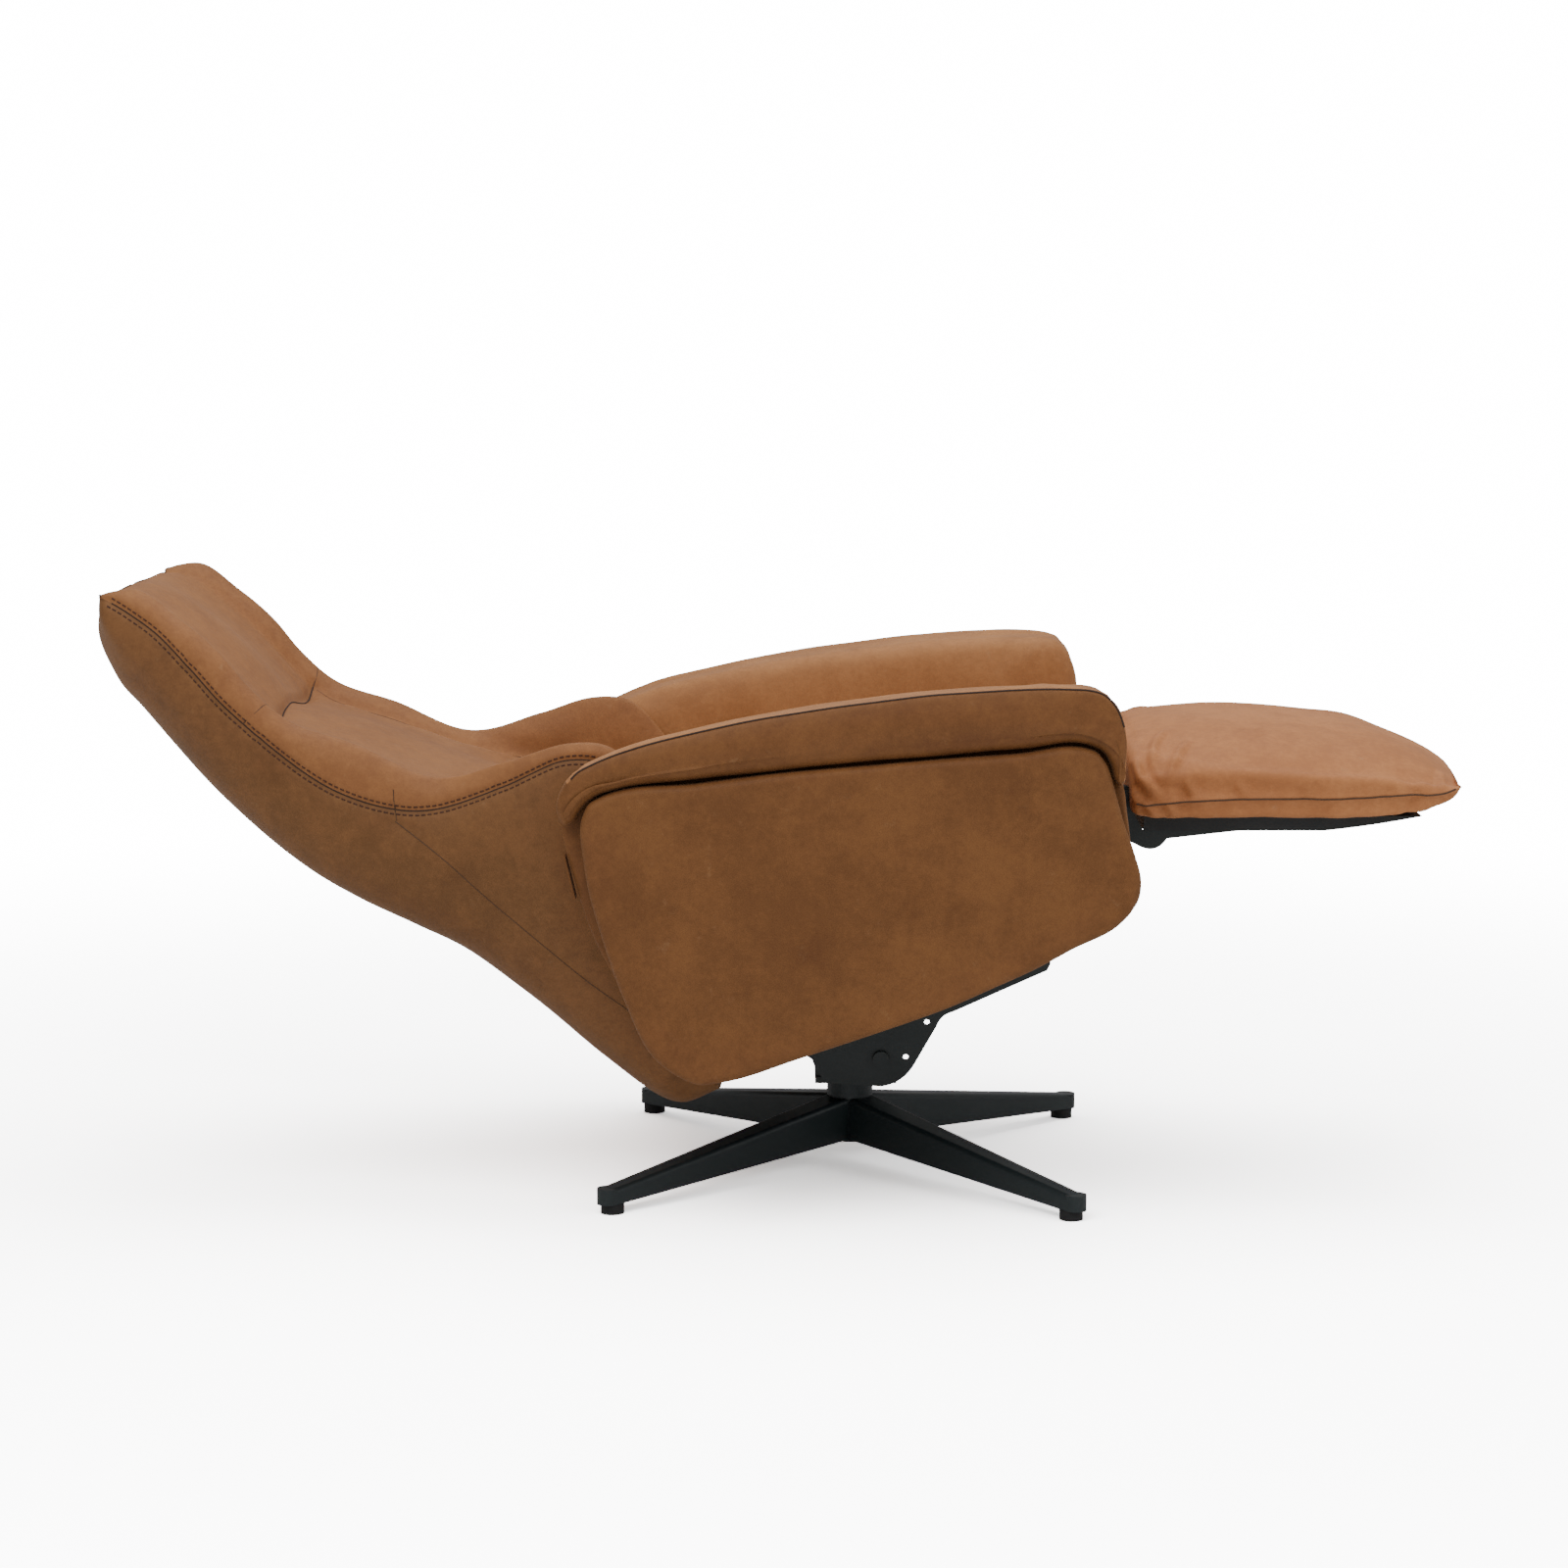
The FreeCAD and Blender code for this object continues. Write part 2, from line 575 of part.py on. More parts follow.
def strip(points, thick, inward):
    """A skin of even thickness: a smooth outer line and the same line set inwards."""
    inner = []
    for index, (x, z) in enumerate(points):
        before = points[max(index - 1, 0)]
        after = points[min(index + 1, len(points) - 1)]
        run = (after[0] - before[0], after[1] - before[1])
        length = math.hypot(*run)
        inner.append((x - inward * thick * run[1] / length, z + inward * thick * run[0] / length))
    outline = Outline(points[0]).curve(*points[1:]).line(inner[-1])
    return outline.curve(*reversed(inner[:-1])).close()


def back_frame():
    """Plywood boards, slats, elastic straps, hinge plates and headrest pins of the backrest."""
    board = Outline((-697, 567)).curve((-590, 532), (-499, 500), (-340, 458))
    board.arc_about(BACK, 90, 118, -109)
    board.line((-305, 258), (-520, 372), polar(HEAD, 30, 240))
    board.arc(polar(HEAD, 30, 150), polar(HEAD, 30, 60)).close()
    board.hole(HEAD, SIZE["head_pin_radius"] + 0.02)
    both_sides("back_board", board, "back_board_inner", "back_board_outer")

    run = (REAR_LINE[1][0] - REAR_LINE[0][0], REAR_LINE[1][1] - REAR_LINE[0][1])
    length = math.hypot(*run)
    along = (run[0] / length, run[1] / length)
    behind = (-along[1], along[0])

    def on_frame(distance, depth):
        return (REAR_LINE[0][0] + along[0] * distance - abs(behind[0]) * depth,
                REAR_LINE[0][1] + along[1] * distance - abs(behind[1]) * depth)

    def bar(first, last, near, far):
        return Outline(on_frame(first, near)).line(on_frame(last, near), on_frame(last, far),
                                                   on_frame(first, far)).close()

    slats = []
    for number in range(2):
        body = new_body(f"back_slat_{number}")
        pad_side_view(body, bar(22 + 128 * number, 82 + 128 * number, 4, 20), "2 * Dims.back_cushion_half")
        slats.append(body)
    group("back_slats", slats)
    straps = []
    for number in range(4):
        body = new_body(f"back_strap_{number}")
        pad_side_view(body, bar(25 + 70 * number, 70 + 70 * number, 0.5, 2.5), "2 * Dims.back_cushion_half")
        straps.append(body)
    group("back_straps", straps)

    plate = Outline(polar(BACK, 26, -110))
    plate.arc(polar(BACK, 26, -20), polar(BACK, 26, 70))
    plate.line((-430, 452), (-442, 418)).close()
    plate.hole(BACK, SIZE["stud_radius"] + SIZE["running_gap"])
    pair("recline_hinge_plates", plate, "hinge_plate_inner", "hinge_plate_outer")
    pins = [rod(f"headrest_pin_{side}", HEAD, "Dims.head_pin_radius", "Dims.back_cushion_half + 0.5",
                "Dims.back_board_outer", sign) for side, sign in SIDES]
    group("headrest_pins", pins)


def back_covers():
    """Outer shell, side gussets and side wings of the backrest."""
    across("back_shell", strip(SHELL_LINE, SIZE["shell_thick"], 1), "shell_half")

    gusset = Outline((-688, 560)).curve((-651, 532), (-592, 502), (-540, 487), (-456, 493), (-365, 535), (-290, 546))
    gusset.curve((-240, 480), (-228, 380), (-200, 300), (-164, 200), (-162, 158))
    gusset.curve((-190, 130), (-236, 131), (-259, 146), (-306, 190), (-399, 274), (-468, 330), (-607, 416), (-690, 470))
    gusset.close().hole(BACK, SIZE["stud_hole"])
    both_sides("back_gusset", gusset, "gusset_inner", "gusset_outer")

    wing = Outline((-540, 486)).curve((-495, 518), (-449, 524), (-387, 543), (-332, 557), (-285, 550))
    wing.curve((-240, 470), (-232, 380), (-240, 300), (-270, 254))
    wing.curve((-313, 283), (-428, 379), (-539, 471)).close()
    wing.hole(BACK, SIZE["stud_hole"])
    both_sides("side_wing", wing, "wing_inner", "wing_outer")


def recline_studs():
    """Studs welded to flanges on the arms, which the backrest turns on."""
    for side, sign in SIDES:
        flange = rod(f"stud_flange_{side}", BACK, "28", "Dims.stud_flange", "Dims.arm_inner - 0.2", sign)
        shank = rod(f"stud_shank_{side}", BACK, "Dims.stud_radius", "Dims.hinge_plate_inner + 0.2",
                    "Dims.stud_flange + 1", sign)
        label(f"recline_stud_{side}", join(f"recline_stud_{side}", [flange, shank]))


# --------------------------------------------------------------- gas spring


def along_spring(name, radius, first, last):
    """A round bar between two distances from the front pin, along the gas spring."""
    run = V(CLEVIS[0] - ANCHOR[0], 0, CLEVIS[1] - ANCHOR[1]).normalize()
    bar = doc.addObject("Part::Cylinder", name)
    bar.setExpression("Radius", radius)
    bar.Height = last - first
    start = V(ANCHOR[0], 0, ANCHOR[1]) + run * first
    bar.Placement = FreeCAD.Placement(start, FreeCAD.Rotation(V(0, 0, 1), run))
    return bar


def gas_spring():
    """Gas spring that lifts the backrest: pins, tube, rod and the clevis on the lower slat."""
    reach = math.dist(ANCHOR, CLEVIS)
    tube_end = 250.0
    label("spring_anchor_pin", rod("spring_anchor_pin", ANCHOR, "Dims.anchor_pin_radius",
                                   "-Dims.plate_inner", "Dims.plate_inner"))
    eye = rod("tube_eye", ANCHOR, "11", "-9", "9")
    tube = join("tube_and_eye", [eye, along_spring("tube_wall", "Dims.spring_tube_radius", 4, tube_end)])
    hollow = join("tube_hollow", [
        rod("tube_pin_hole", ANCHOR, "Dims.anchor_pin_radius + Dims.running_gap", "-14", "14"),
        along_spring("tube_bore", "Dims.spring_rod_radius + Dims.running_gap", 24, tube_end + 5)])
    label("gas_spring_tube", cut("gas_spring_tube", tube, hollow))

    ring = rod("rod_eye", CLEVIS, "Dims.eye_bore + 4.5", "-9", "9")
    shaft = along_spring("rod_shaft", "Dims.spring_rod_radius", 130, reach)
    bore = rod("rod_eye_bore", CLEVIS, "Dims.eye_bore", "-14", "14")
    label("gas_spring_rod", cut("gas_spring_rod", join("rod_and_eye", [ring, shaft]), bore))

    ear = Outline((-326, 274)).line(polar(CLEVIS, 12, 60))
    ear.arc(polar(CLEVIS, 12, -30), polar(CLEVIS, 12, -120))
    ear.line((-366, 293)).close()
    ears = [one_side(f"clevis_ear_{side}", sign, ear, "ear_inner", "ear_outer") for side, sign in SIDES]
    pin = rod("clevis_pin", CLEVIS, "Dims.clevis_pin_radius", "-Dims.ear_inner - 1", "Dims.ear_inner + 1")
    label("spring_clevis", join("spring_clevis", ears + [pin]))


# ----------------------------------------------------------------- headrest


def headrest():
    """Headrest cushion with side pads, an outer shell and arms that turn on the pins."""
    gap = SIZE["head_gap_radius"]
    outline = Outline((-699, 597)).curve((-716, 617), (-752, 662), (-795, 703), (-839, 738), (-868, 739),
                                         (-878, 716))
    outline.curve((-867, 667), (-803, 586), (-762, 536)).line(polar(HEAD, gap, 216))
    outline.arc(polar(HEAD, gap, 146), polar(HEAD, gap, 77)).close()
    across("headrest_cushion", outline, "back_cushion_half")
    pair("headrest_sides", outline, "back_board_inner", "head_side_outer")
    across("headrest_shell", strip(HEAD_SHELL_LINE, SIZE["shell_thick"] - 1, 1), "shell_half")

    arm = Outline(polar(HEAD, 15, 227)).arc(polar(HEAD, 15, -43), polar(HEAD, 15, 47))
    end = polar(HEAD, 150, 137)
    arm.line(polar(end, 12, 47), polar(end, 12, 227)).close()
    arm.hole(HEAD, SIZE["head_pin_radius"] + SIZE["running_gap"])
    pair("headrest_arms", arm, "head_arm_inner", "head_arm_outer")


# ----------------------------------------------------------------- footrest


def footrest():
    """Footrest pad on a dark tray, with hinge plates that turn on the brackets' pins."""
    rear = FOOT[0] + 14
    underside = 469.5
    pad = Outline((rear, underside)).line((rear, 555))
    pad.curve((352, 579), (436, 589), (571, 578), (650, 558), (716, 523), (735, 503))
    pad.curve((718, 490), (685, 480), (640, underside)).close()
    across("footrest_pad", pad, "foot_pad_half")
    tray = Outline((345, underside)).line((345, 452), (560, 452)).curve((629, 461), (676, underside)).close()
    across("footrest_tray", tray, "foot_tray_half")

    plate = Outline(polar(FOOT, 10, 60)).arc(polar(FOOT, 10, 130), polar(FOOT, 10, 200))
    plate.line((314, 446), (340, 433)).curve((358, 430), (373, 442)).line((460, 451.7), (344.7, 451.7))
    plate.line((334.7, 470)).close()
    plate.hole(FOOT, SIZE["foot_pin_radius"] + SIZE["running_gap"])
    both_sides("footrest_hinge", plate, "foot_hinge_inner", "foot_hinge_outer")


def footrest_brackets():
    """Brackets on the seat's front board, with the footrest's pins."""
    arm = Outline(polar(FOOT, 10, -90)).arc(polar(FOOT, 10, 0), polar(FOOT, 10, 90))
    arm.line((261.2, 505), (261.2, 425), (270, 425), (285, 485)).close()
    arm.hole(FOOT, SIZE["foot_pin_radius"])
    both_sides("footrest_bracket", arm, "foot_bracket_inner", "foot_bracket_outer")
    pins = [rod(f"footrest_pin_{side}", FOOT, "Dims.foot_pin_radius - 0.01", "Dims.foot_bracket_inner - 2",
                "Dims.foot_hinge_outer + 3", sign) for side, sign in SIDES]
    group("footrest_pins", pins)


def check_and_write():
    """Stop if anything failed, then write each sub-part."""
    doc.recompute()
    failed = [item.Label for item in doc.Objects if "Invalid" in item.State or "Error" in item.State]
    for piece in subparts:
        shape = piece.Shape
        if shape.isNull() or not shape.isValid() or shape.Volume <= 0:
            failed.append(piece.Label)
    if failed:
        raise RuntimeError("these did not build: " + ", ".join(failed))
    names = [piece.Label for piece in subparts]
    if len(set(names)) != len(names):
        raise RuntimeError("two sub-parts share a name")
    os.makedirs("parts", exist_ok=True)
    for piece in subparts:
        piece.Shape.exportStep(os.path.join("parts", piece.Label + ".step"))
        print(f"{piece.Label:24s} solids {len(piece.Shape.Solids)}  volume {piece.Shape.Volume / 1e6:8.3f} litres")
    print(len(subparts), "sub-parts")


def main():
    write_sheet()
    star_base()
    foot_glides()
    swivel_bearing()
    swivel_parts()
    tilt_mechanism()
    seat_frame()
    seat_cushion()
    arms()
    back_cushion()
    back_frame()
    back_covers()
    recline_studs()
    gas_spring()
    headrest()
    footrest()
    footrest_brackets()
    check_and_write()


main()
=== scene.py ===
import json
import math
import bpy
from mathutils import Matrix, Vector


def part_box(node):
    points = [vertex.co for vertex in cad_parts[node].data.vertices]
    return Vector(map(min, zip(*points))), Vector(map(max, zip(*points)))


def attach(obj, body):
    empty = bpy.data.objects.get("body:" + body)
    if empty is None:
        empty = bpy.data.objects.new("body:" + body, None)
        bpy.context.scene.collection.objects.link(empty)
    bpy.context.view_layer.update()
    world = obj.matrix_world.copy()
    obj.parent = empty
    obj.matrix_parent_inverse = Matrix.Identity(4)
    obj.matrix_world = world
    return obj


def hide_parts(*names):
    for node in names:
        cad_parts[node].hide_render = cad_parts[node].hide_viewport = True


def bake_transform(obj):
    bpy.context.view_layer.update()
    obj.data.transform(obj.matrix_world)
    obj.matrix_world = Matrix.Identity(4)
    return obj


bl_info = {
    "name": "Recliner armchair upholstery",
    "version": (1, 0, 0),
    "blender": (4, 5, 0),
    "location": "View3D > Sidebar > Armchair",
    "description": "Upholsters the packed recliner armchair and sets up its studio",
    "category": "Object",
}

import bmesh
import bpy
import numpy as np
from bpy.props import FloatProperty, FloatVectorProperty, IntProperty, PointerProperty
from mathutils import Vector
from mathutils.bvhtree import BVHTree

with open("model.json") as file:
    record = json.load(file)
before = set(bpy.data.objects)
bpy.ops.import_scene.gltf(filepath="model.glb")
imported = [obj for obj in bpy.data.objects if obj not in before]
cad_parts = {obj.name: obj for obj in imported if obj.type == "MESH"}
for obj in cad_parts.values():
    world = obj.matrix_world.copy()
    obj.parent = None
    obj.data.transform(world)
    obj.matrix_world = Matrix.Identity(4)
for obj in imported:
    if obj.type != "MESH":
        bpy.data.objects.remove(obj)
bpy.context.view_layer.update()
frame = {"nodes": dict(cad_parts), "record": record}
finishes = {}

MM = 0.001
SIDES = (("right", -1.0), ("left", 1.0))
CAP_RINGS = 6
MERGE_WITHIN = 0.00015
PIN_REACH = 0.003
WELL_OUTSIDE = 0.6
LEAST_STEP = 0.002


# ------------------------------------------------------------------ settings


class LeatherSettings(bpy.types.PropertyGroup):
    seat_light: FloatVectorProperty(
        name="Seat light", description="Lighter tone of the seat's and the back's leather",
        subtype="COLOR", size=3, min=0, max=1, default=(0.33, 0.140, 0.050))
    seat_dark: FloatVectorProperty(
        name="Seat dark", description="Darker tone of the seat's and the back's leather",
        subtype="COLOR", size=3, min=0, max=1, default=(0.255, 0.102, 0.035))
    arm_light: FloatVectorProperty(
        name="Arm light", description="Lighter tone of the arms' leather",
        subtype="COLOR", size=3, min=0, max=1, default=(0.44, 0.196, 0.073))
    arm_dark: FloatVectorProperty(
        name="Arm dark", description="Darker tone of the arms' leather",
        subtype="COLOR", size=3, min=0, max=1, default=(0.35, 0.148, 0.052))
    # The panel tones are the arm hide made darker: painted shade for the side panels and the arms' outer
    # faces, which stand in shade.
    panel_light: FloatVectorProperty(
        name="Panel light", description="Lighter tone of the side panels' leather",
        subtype="COLOR", size=3, min=0, max=1, default=(0.215, 0.088, 0.027))
    panel_dark: FloatVectorProperty(
        name="Panel dark", description="Darker tone of the side panels' leather",
        subtype="COLOR", size=3, min=0, max=1, default=(0.155, 0.060, 0.018))
    footrest_light: FloatVectorProperty(
        name="Footrest light", description="Lighter tone of the footrest's leather",
        subtype="COLOR", size=3, min=0, max=1, default=(0.53, 0.215, 0.080))
    footrest_dark: FloatVectorProperty(
        name="Footrest dark", description="Darker tone of the footrest's leather",
        subtype="COLOR", size=3, min=0, max=1, default=(0.41, 0.156, 0.055))
    # The shell tones are the seat hide made darker: mostly painted shade on the back's sides and rear, which
    # face away from the light.
    shell_light: FloatVectorProperty(
        name="Shell light", description="Lighter tone of the leather on the back's outside",
        subtype="COLOR", size=3, min=0, max=1, default=(0.215, 0.094, 0.033))
    shell_dark: FloatVectorProperty(
        name="Shell dark", description="Darker tone of the leather on the back's outside",
        subtype="COLOR", size=3, min=0, max=1, default=(0.150, 0.065, 0.022))
    grain: FloatProperty(
        name="Grain", description="Leather pores to the metre", min=100, max=3000, default=700)


class SeamSettings(bpy.types.PropertyGroup):
    cord_radius: FloatProperty(
        name="Piping radius", description="Radius of the piping cord", unit="LENGTH",
        min=0.0005, max=0.006, default=0.0014)
    stitch_long: FloatProperty(
        name="Stitch length", description="Length of one stitch", unit="LENGTH",
        min=0.001, max=0.01, default=0.0046)
    stitch_gap: FloatProperty(
        name="Stitch pitch", description="Distance from one stitch to the next", unit="LENGTH",
        min=0.002, max=0.02, default=0.0074)
    stitch_thick: FloatProperty(
        name="Thread radius", description="Radius of the sewing thread", unit="LENGTH",
        min=0.0002, max=0.003, default=0.0009)
    stitch_side: FloatProperty(
        name="Stitch row offset", description="Distance of a stitch row from its seam", unit="LENGTH",
        min=0.002, max=0.02, default=0.0058)
    groove_deep: FloatProperty(
        name="Seam groove", description="Depth of a seam's groove", unit="LENGTH",
        min=0, max=0.01, default=0.0028)
    thread: FloatVectorProperty(
        name="Thread", description="Colour of the sewing thread",
        subtype="COLOR", size=3, min=0, max=1, default=(0.060, 0.017, 0.008))


class PaddingSettings(bpy.types.PropertyGroup):
    pressure: FloatProperty(
        name="Filling pressure", description="Pressure inside a pad while it settles", min=0, max=20,
        default=4.0)
    steps: IntProperty(
        name="Steps", description="Frames that a pad is given to settle", min=5, max=60, default=20)
    most: FloatProperty(
        name="Most swell", description="Furthest that a point of a pad may move", unit="LENGTH",
        min=0, max=0.05, default=0.014)


class StudioSettings(bpy.types.PropertyGroup):
    floor: FloatVectorProperty(
        name="Floor", description="Colour of the studio floor", subtype="COLOR", size=3,
        min=0, max=1, default=(0.86, 0.86, 0.86))
    floor_seen: FloatProperty(
        name="Floor brightness", description="How bright the lit floor looks", min=0, max=20, default=8.5)
    backdrop: FloatProperty(
        name="Backdrop", description="Brightness of the backdrop and the far floor", min=0, max=30,
        default=16.0)
    ambient: FloatProperty(
        name="Ambient", description="Strength of the light from all round", min=0, max=5, default=0.42)
    key: FloatProperty(
        name="Key light", description="Power of the large soft light", min=0, max=2000, default=48.0)
    lens: FloatProperty(
        name="Lens", description="Focal length in millimetres on a 36 mm sensor", min=20, max=200,
        default=81.15)


# ------------------------------------------------------------------ geometry


def through(points, at, where):
    """A smooth curve through points placed at rising parameters, read at other parameters."""
    points = np.asarray(points, float)
    at = np.asarray(at, float)
    steps = np.diff(at)
    slopes = np.diff(points, axis=0) / steps.reshape(-1, *[1] * (points.ndim - 1))
    tangents = np.empty_like(points)
    tangents[0], tangents[-1] = slopes[0], slopes[-1]
    before = steps[:-1].reshape(-1, *[1] * (points.ndim - 1))
    after = steps[1:].reshape(-1, *[1] * (points.ndim - 1))
    tangents[1:-1] = (slopes[:-1] * after + slopes[1:] * before) / (before + after)
    index = np.clip(np.searchsorted(at, where, side="right") - 1, 0, len(at) - 2)
    span = steps[index]
    part = (np.asarray(where) - at[index]) / span
    shape = (-1, *[1] * (points.ndim - 1))
    t, h = part.reshape(shape), span.reshape(shape)
    return ((2 * t**3 - 3 * t**2 + 1) * points[index] + (t**3 - 2 * t**2 + t) * h * tangents[index]
            + (3 * t**2 - 2 * t**3) * points[index + 1] + (t**3 - t**2) * h * tangents[index + 1])


def lengths(points):
    """Distance along a line of points, starting at 0."""
    gaps = np.linalg.norm(np.diff(np.asarray(points, float), axis=0), axis=-1)
    return np.concatenate(([0.0], np.cumsum(np.maximum(gaps, 1e-7))))


def even(points, count):
    """Points spaced evenly along the smooth curve through the given ones."""
    at = lengths(points)
    fine = through(points, at, np.linspace(0, at[-1], count * 8))
    along = lengths(fine)
    where = np.interp(np.linspace(0, along[-1], count), along, np.linspace(0, at[-1], count * 8))
    return through(points, at, where)


def closed_spans(ring, spans):
    """Points on the closed smooth curve through a ring: each span has a count and a crowding,
    below 1 towards its end and above 1 towards its start."""
    ring = np.asarray(ring, float)
    wrapped = np.concatenate((ring[-3:], ring, ring[:3]))
    at = lengths(wrapped)
    stops = at[3:4 + len(ring)]
    where = [stops[k] + (stops[k + 1] - stops[k]) * np.linspace(0, 1, count, endpoint=False) ** crowd
             for k, (count, crowd) in enumerate(spans)]
    return through(wrapped, at, np.concatenate(where))


def net(lines, row_count, spans):
    """A grid of points over lengthwise lines: rows across, columns around the closed section."""
    lines = np.asarray(lines, float)
    gaps = np.linalg.norm(np.diff(lines, axis=1), axis=-1).mean(axis=0)
    at = np.concatenate(([0.0], np.cumsum(gaps)))
    rows = through(lines.transpose(1, 0, 2), at, np.linspace(0, at[-1], row_count))
    return np.array([closed_spans(row, spans) for row in rows])


def sided_loop(sides, counts):
    """A closed loop of evenly spaced points on four sides, each starting where the last one ends."""
    sides = [list(side) + [after[0]] for side, after in zip(sides, sides[1:] + sides[:1])]
    return np.concatenate([even(side, count + 1)[:-1] for side, count in zip(sides, (*counts, *counts))])


def inset(loop, by):
    """A closed side-view loop moved inwards."""
    run = np.roll(loop, -1, axis=0) - np.roll(loop, 1, axis=0)
    run /= np.linalg.norm(run, axis=1, keepdims=True)
    area = np.sum(loop[:, 0] * np.roll(loop[:, 1], -1) - np.roll(loop[:, 0], -1) * loop[:, 1])
    return loop + np.stack((-run[:, 1], run[:, 0]), axis=1) * np.reshape(by, (-1, 1)) * np.sign(area)


def patch_inside(loop, counts):
    """The grid of points inside a four-sided loop."""
    long, short = counts
    top, front = loop[:long + 1], loop[long:long + short + 1]
    low = loop[long + short:2 * long + short + 1][::-1]
    rear = np.concatenate((loop[2 * long + short:], loop[:1]))[::-1]
    u = np.linspace(0, 1, long + 1)[:, None, None]
    v = np.linspace(0, 1, short + 1)[None, :, None]
    return ((1 - v) * top[:, None] + v * low[:, None] + (1 - u) * rear[None] + u * front[None]
            - (1 - u) * (1 - v) * top[0] - u * (1 - v) * top[-1] - (1 - u) * v * low[0] - u * v * low[-1])


def looped_piece(name, grid, counts, crown=(0.0, 0.0), second=None):
    """A closed piece from rows of four-sided loops, with a patch over each end that may be crowned;
    an end whose crown is None gets no patch and has to be pinched shut by its rows. The faces marked in
    second, one mark for each row and column, and the last patch take the second material."""
    long, short = counts
    columns = 2 * (long + short)
    points, faces = [grid.reshape(-1, 3)], grid_faces(len(grid), columns)
    kinds = list(np.zeros(len(faces), int) if second is None else second.astype(int).ravel())
    total = len(grid) * columns
    ends = ((grid[0], grid[0] - grid[1]), (grid[-1], grid[-1] - grid[-2]))
    for end, ((loop, outward), high) in enumerate(zip(ends, crown)):
        if high is None:
            continue
        patch = patch_inside(loop, counts)
        normal = np.cross(loop[long] - loop[0], loop[long + short] - loop[0])
        normal *= np.sign(normal @ outward.mean(axis=0)) / np.linalg.norm(normal)
        u, v = np.linspace(-1, 1, long + 1)[:, None], np.linspace(-1, 1, short + 1)[None]
        swell = high * (1 - u**8) * (1 - v**2)
        patch += swell[:, :, None] * normal
        points.append(patch.reshape(-1, 3))
        faces += [(total + i * (short + 1) + j, total + (i + 1) * (short + 1) + j,
                   total + (i + 1) * (short + 1) + j + 1, total + i * (short + 1) + j + 1)
                  for i in range(long) for j in range(short)]
        total += (long + 1) * (short + 1)
        kinds += [int(second is not None and end == 1)] * (long * short)
    return mesh_piece(name, np.concatenate(points), faces, kinds)


def side_rows(rows, sign=1.0):
    """Rows of points in metres from side-view loops at given widths, both in millimetres."""
    return np.array([np.column_stack((loop[:, 0], np.full(len(loop), sign * y), loop[:, 1]))
                     for loop, y in rows]) * MM


def rounded_rows(loop, inner, outer, inner_round, outer_round, flat_rows):
    """Rows from an inner width to an outer one, rounded over at both ends."""
    bend = np.radians((0, 18, 36, 54, 72, 90))
    rows = [(inset(loop, inner_round * (1 - math.sin(a))), inner + inner_round * (1 - math.cos(a)))
            for a in bend]
    rows += [(loop, y) for y in np.linspace(inner + inner_round, outer - outer_round, flat_rows + 2)[1:-1]]
    rows += [(inset(loop, outer_round * (1 - math.sin(a))), outer - outer_round * (1 - math.cos(a)))
             for a in bend[::-1]]
    return rows


def mirrored(half):
    """Closed set of lines from the lines of one half, middle line first and last."""
    half = np.asarray(half, float)
    other = half[1:-1][::-1] * np.array([1.0, -1.0, 1.0])
    return np.concatenate((half, other))


def line_at(points, half_widths):
    """Lengthwise line in metres from side-view points and half widths in millimetres."""
    widths = np.broadcast_to(half_widths, len(points))
    return np.array([(x, y, z) for (x, z), y in zip(points, widths)], float) * MM


def grid_faces(rows, columns):
    """Quads of a grid that closes on itself across."""
    quads = []
    for row in range(rows - 1):
        for column in range(columns):
            beside = (column + 1) % columns
            quads.append((row * columns + column, row * columns + beside,
                          (row + 1) * columns + beside, (row + 1) * columns + column))
    return quads


def cap_points(points):
    """Points that close one end of a tube: rings that shrink to a middle point, which comes last."""
    middle = points.mean(axis=0)
    made = [middle + (points - middle) * (1 - ring / CAP_RINGS) for ring in range(1, CAP_RINGS)]
    made.append(middle.reshape(1, 3))
    return np.concatenate(made)


def mesh_piece(name, points, faces, kinds=None):
    """A mesh object at the origin with merged doubles, outward faces and a material number per face."""
    mesh = bpy.data.meshes.new(name)
    mesh.from_pydata([tuple(point) for point in points], [], faces)
    if kinds is not None:
        mesh.polygons.foreach_set("material_index", kinds)
    piece = bpy.data.objects.new(name, mesh)
    bpy.context.scene.collection.objects.link(piece)
    work = bmesh.new()
    work.from_mesh(mesh)
    bmesh.ops.remove_doubles(work, verts=work.verts, dist=MERGE_WITHIN)
    bmesh.ops.dissolve_degenerate(work, dist=MERGE_WITHIN / 3, edges=work.edges)
    bmesh.ops.recalc_face_normals(work, faces=work.faces)
    work.to_mesh(mesh)
    work.free()
    mesh.shade_smooth()
    return piece


def tube_piece(name, grid, cap_first, cap_last, second=(0, 0)):
    """A closed piece from a grid of rows; an end that isn't capped has to be pinched shut. The
    columns of the range called second take the second material."""
    rows, columns = grid.shape[:2]
    points = [grid.reshape(-1, 3)]
    faces = grid_faces(rows, columns)
    total = rows * columns
    for wanted, row in ((cap_first, 0), (cap_last, rows - 1)):
        if not wanted:
            continue
        made = cap_points(grid[row])
        ids = [list(range(row * columns, (row + 1) * columns))]
        for ring in range(CAP_RINGS - 1):
            ids.append(list(range(total + ring * columns, total + (ring + 1) * columns)))
        centre = total + (CAP_RINGS - 1) * columns
        for inner, outer in zip(ids[1:], ids[:-1]):
            faces += [(outer[k], outer[(k + 1) % columns], inner[(k + 1) % columns], inner[k])
                      for k in range(columns)]
        faces += [(ids[-1][k], ids[-1][(k + 1) % columns], centre) for k in range(columns)]
        points.append(made)
        total += len(made)
    column = np.arange(len(faces)) % columns
    kinds = ((column >= second[0]) & (column < second[1])).astype(int)
    return mesh_piece(name, np.concatenate(points), faces, kinds)


def vertex_values(mesh, label):
    """One vector of every vertex, such as its place or its normal."""
    flat = np.empty(len(mesh.vertices) * 3)
    mesh.vertices.foreach_get(label, flat)
    return flat.reshape(-1, 3)


def positions(piece):
    return vertex_values(piece.data, "co")


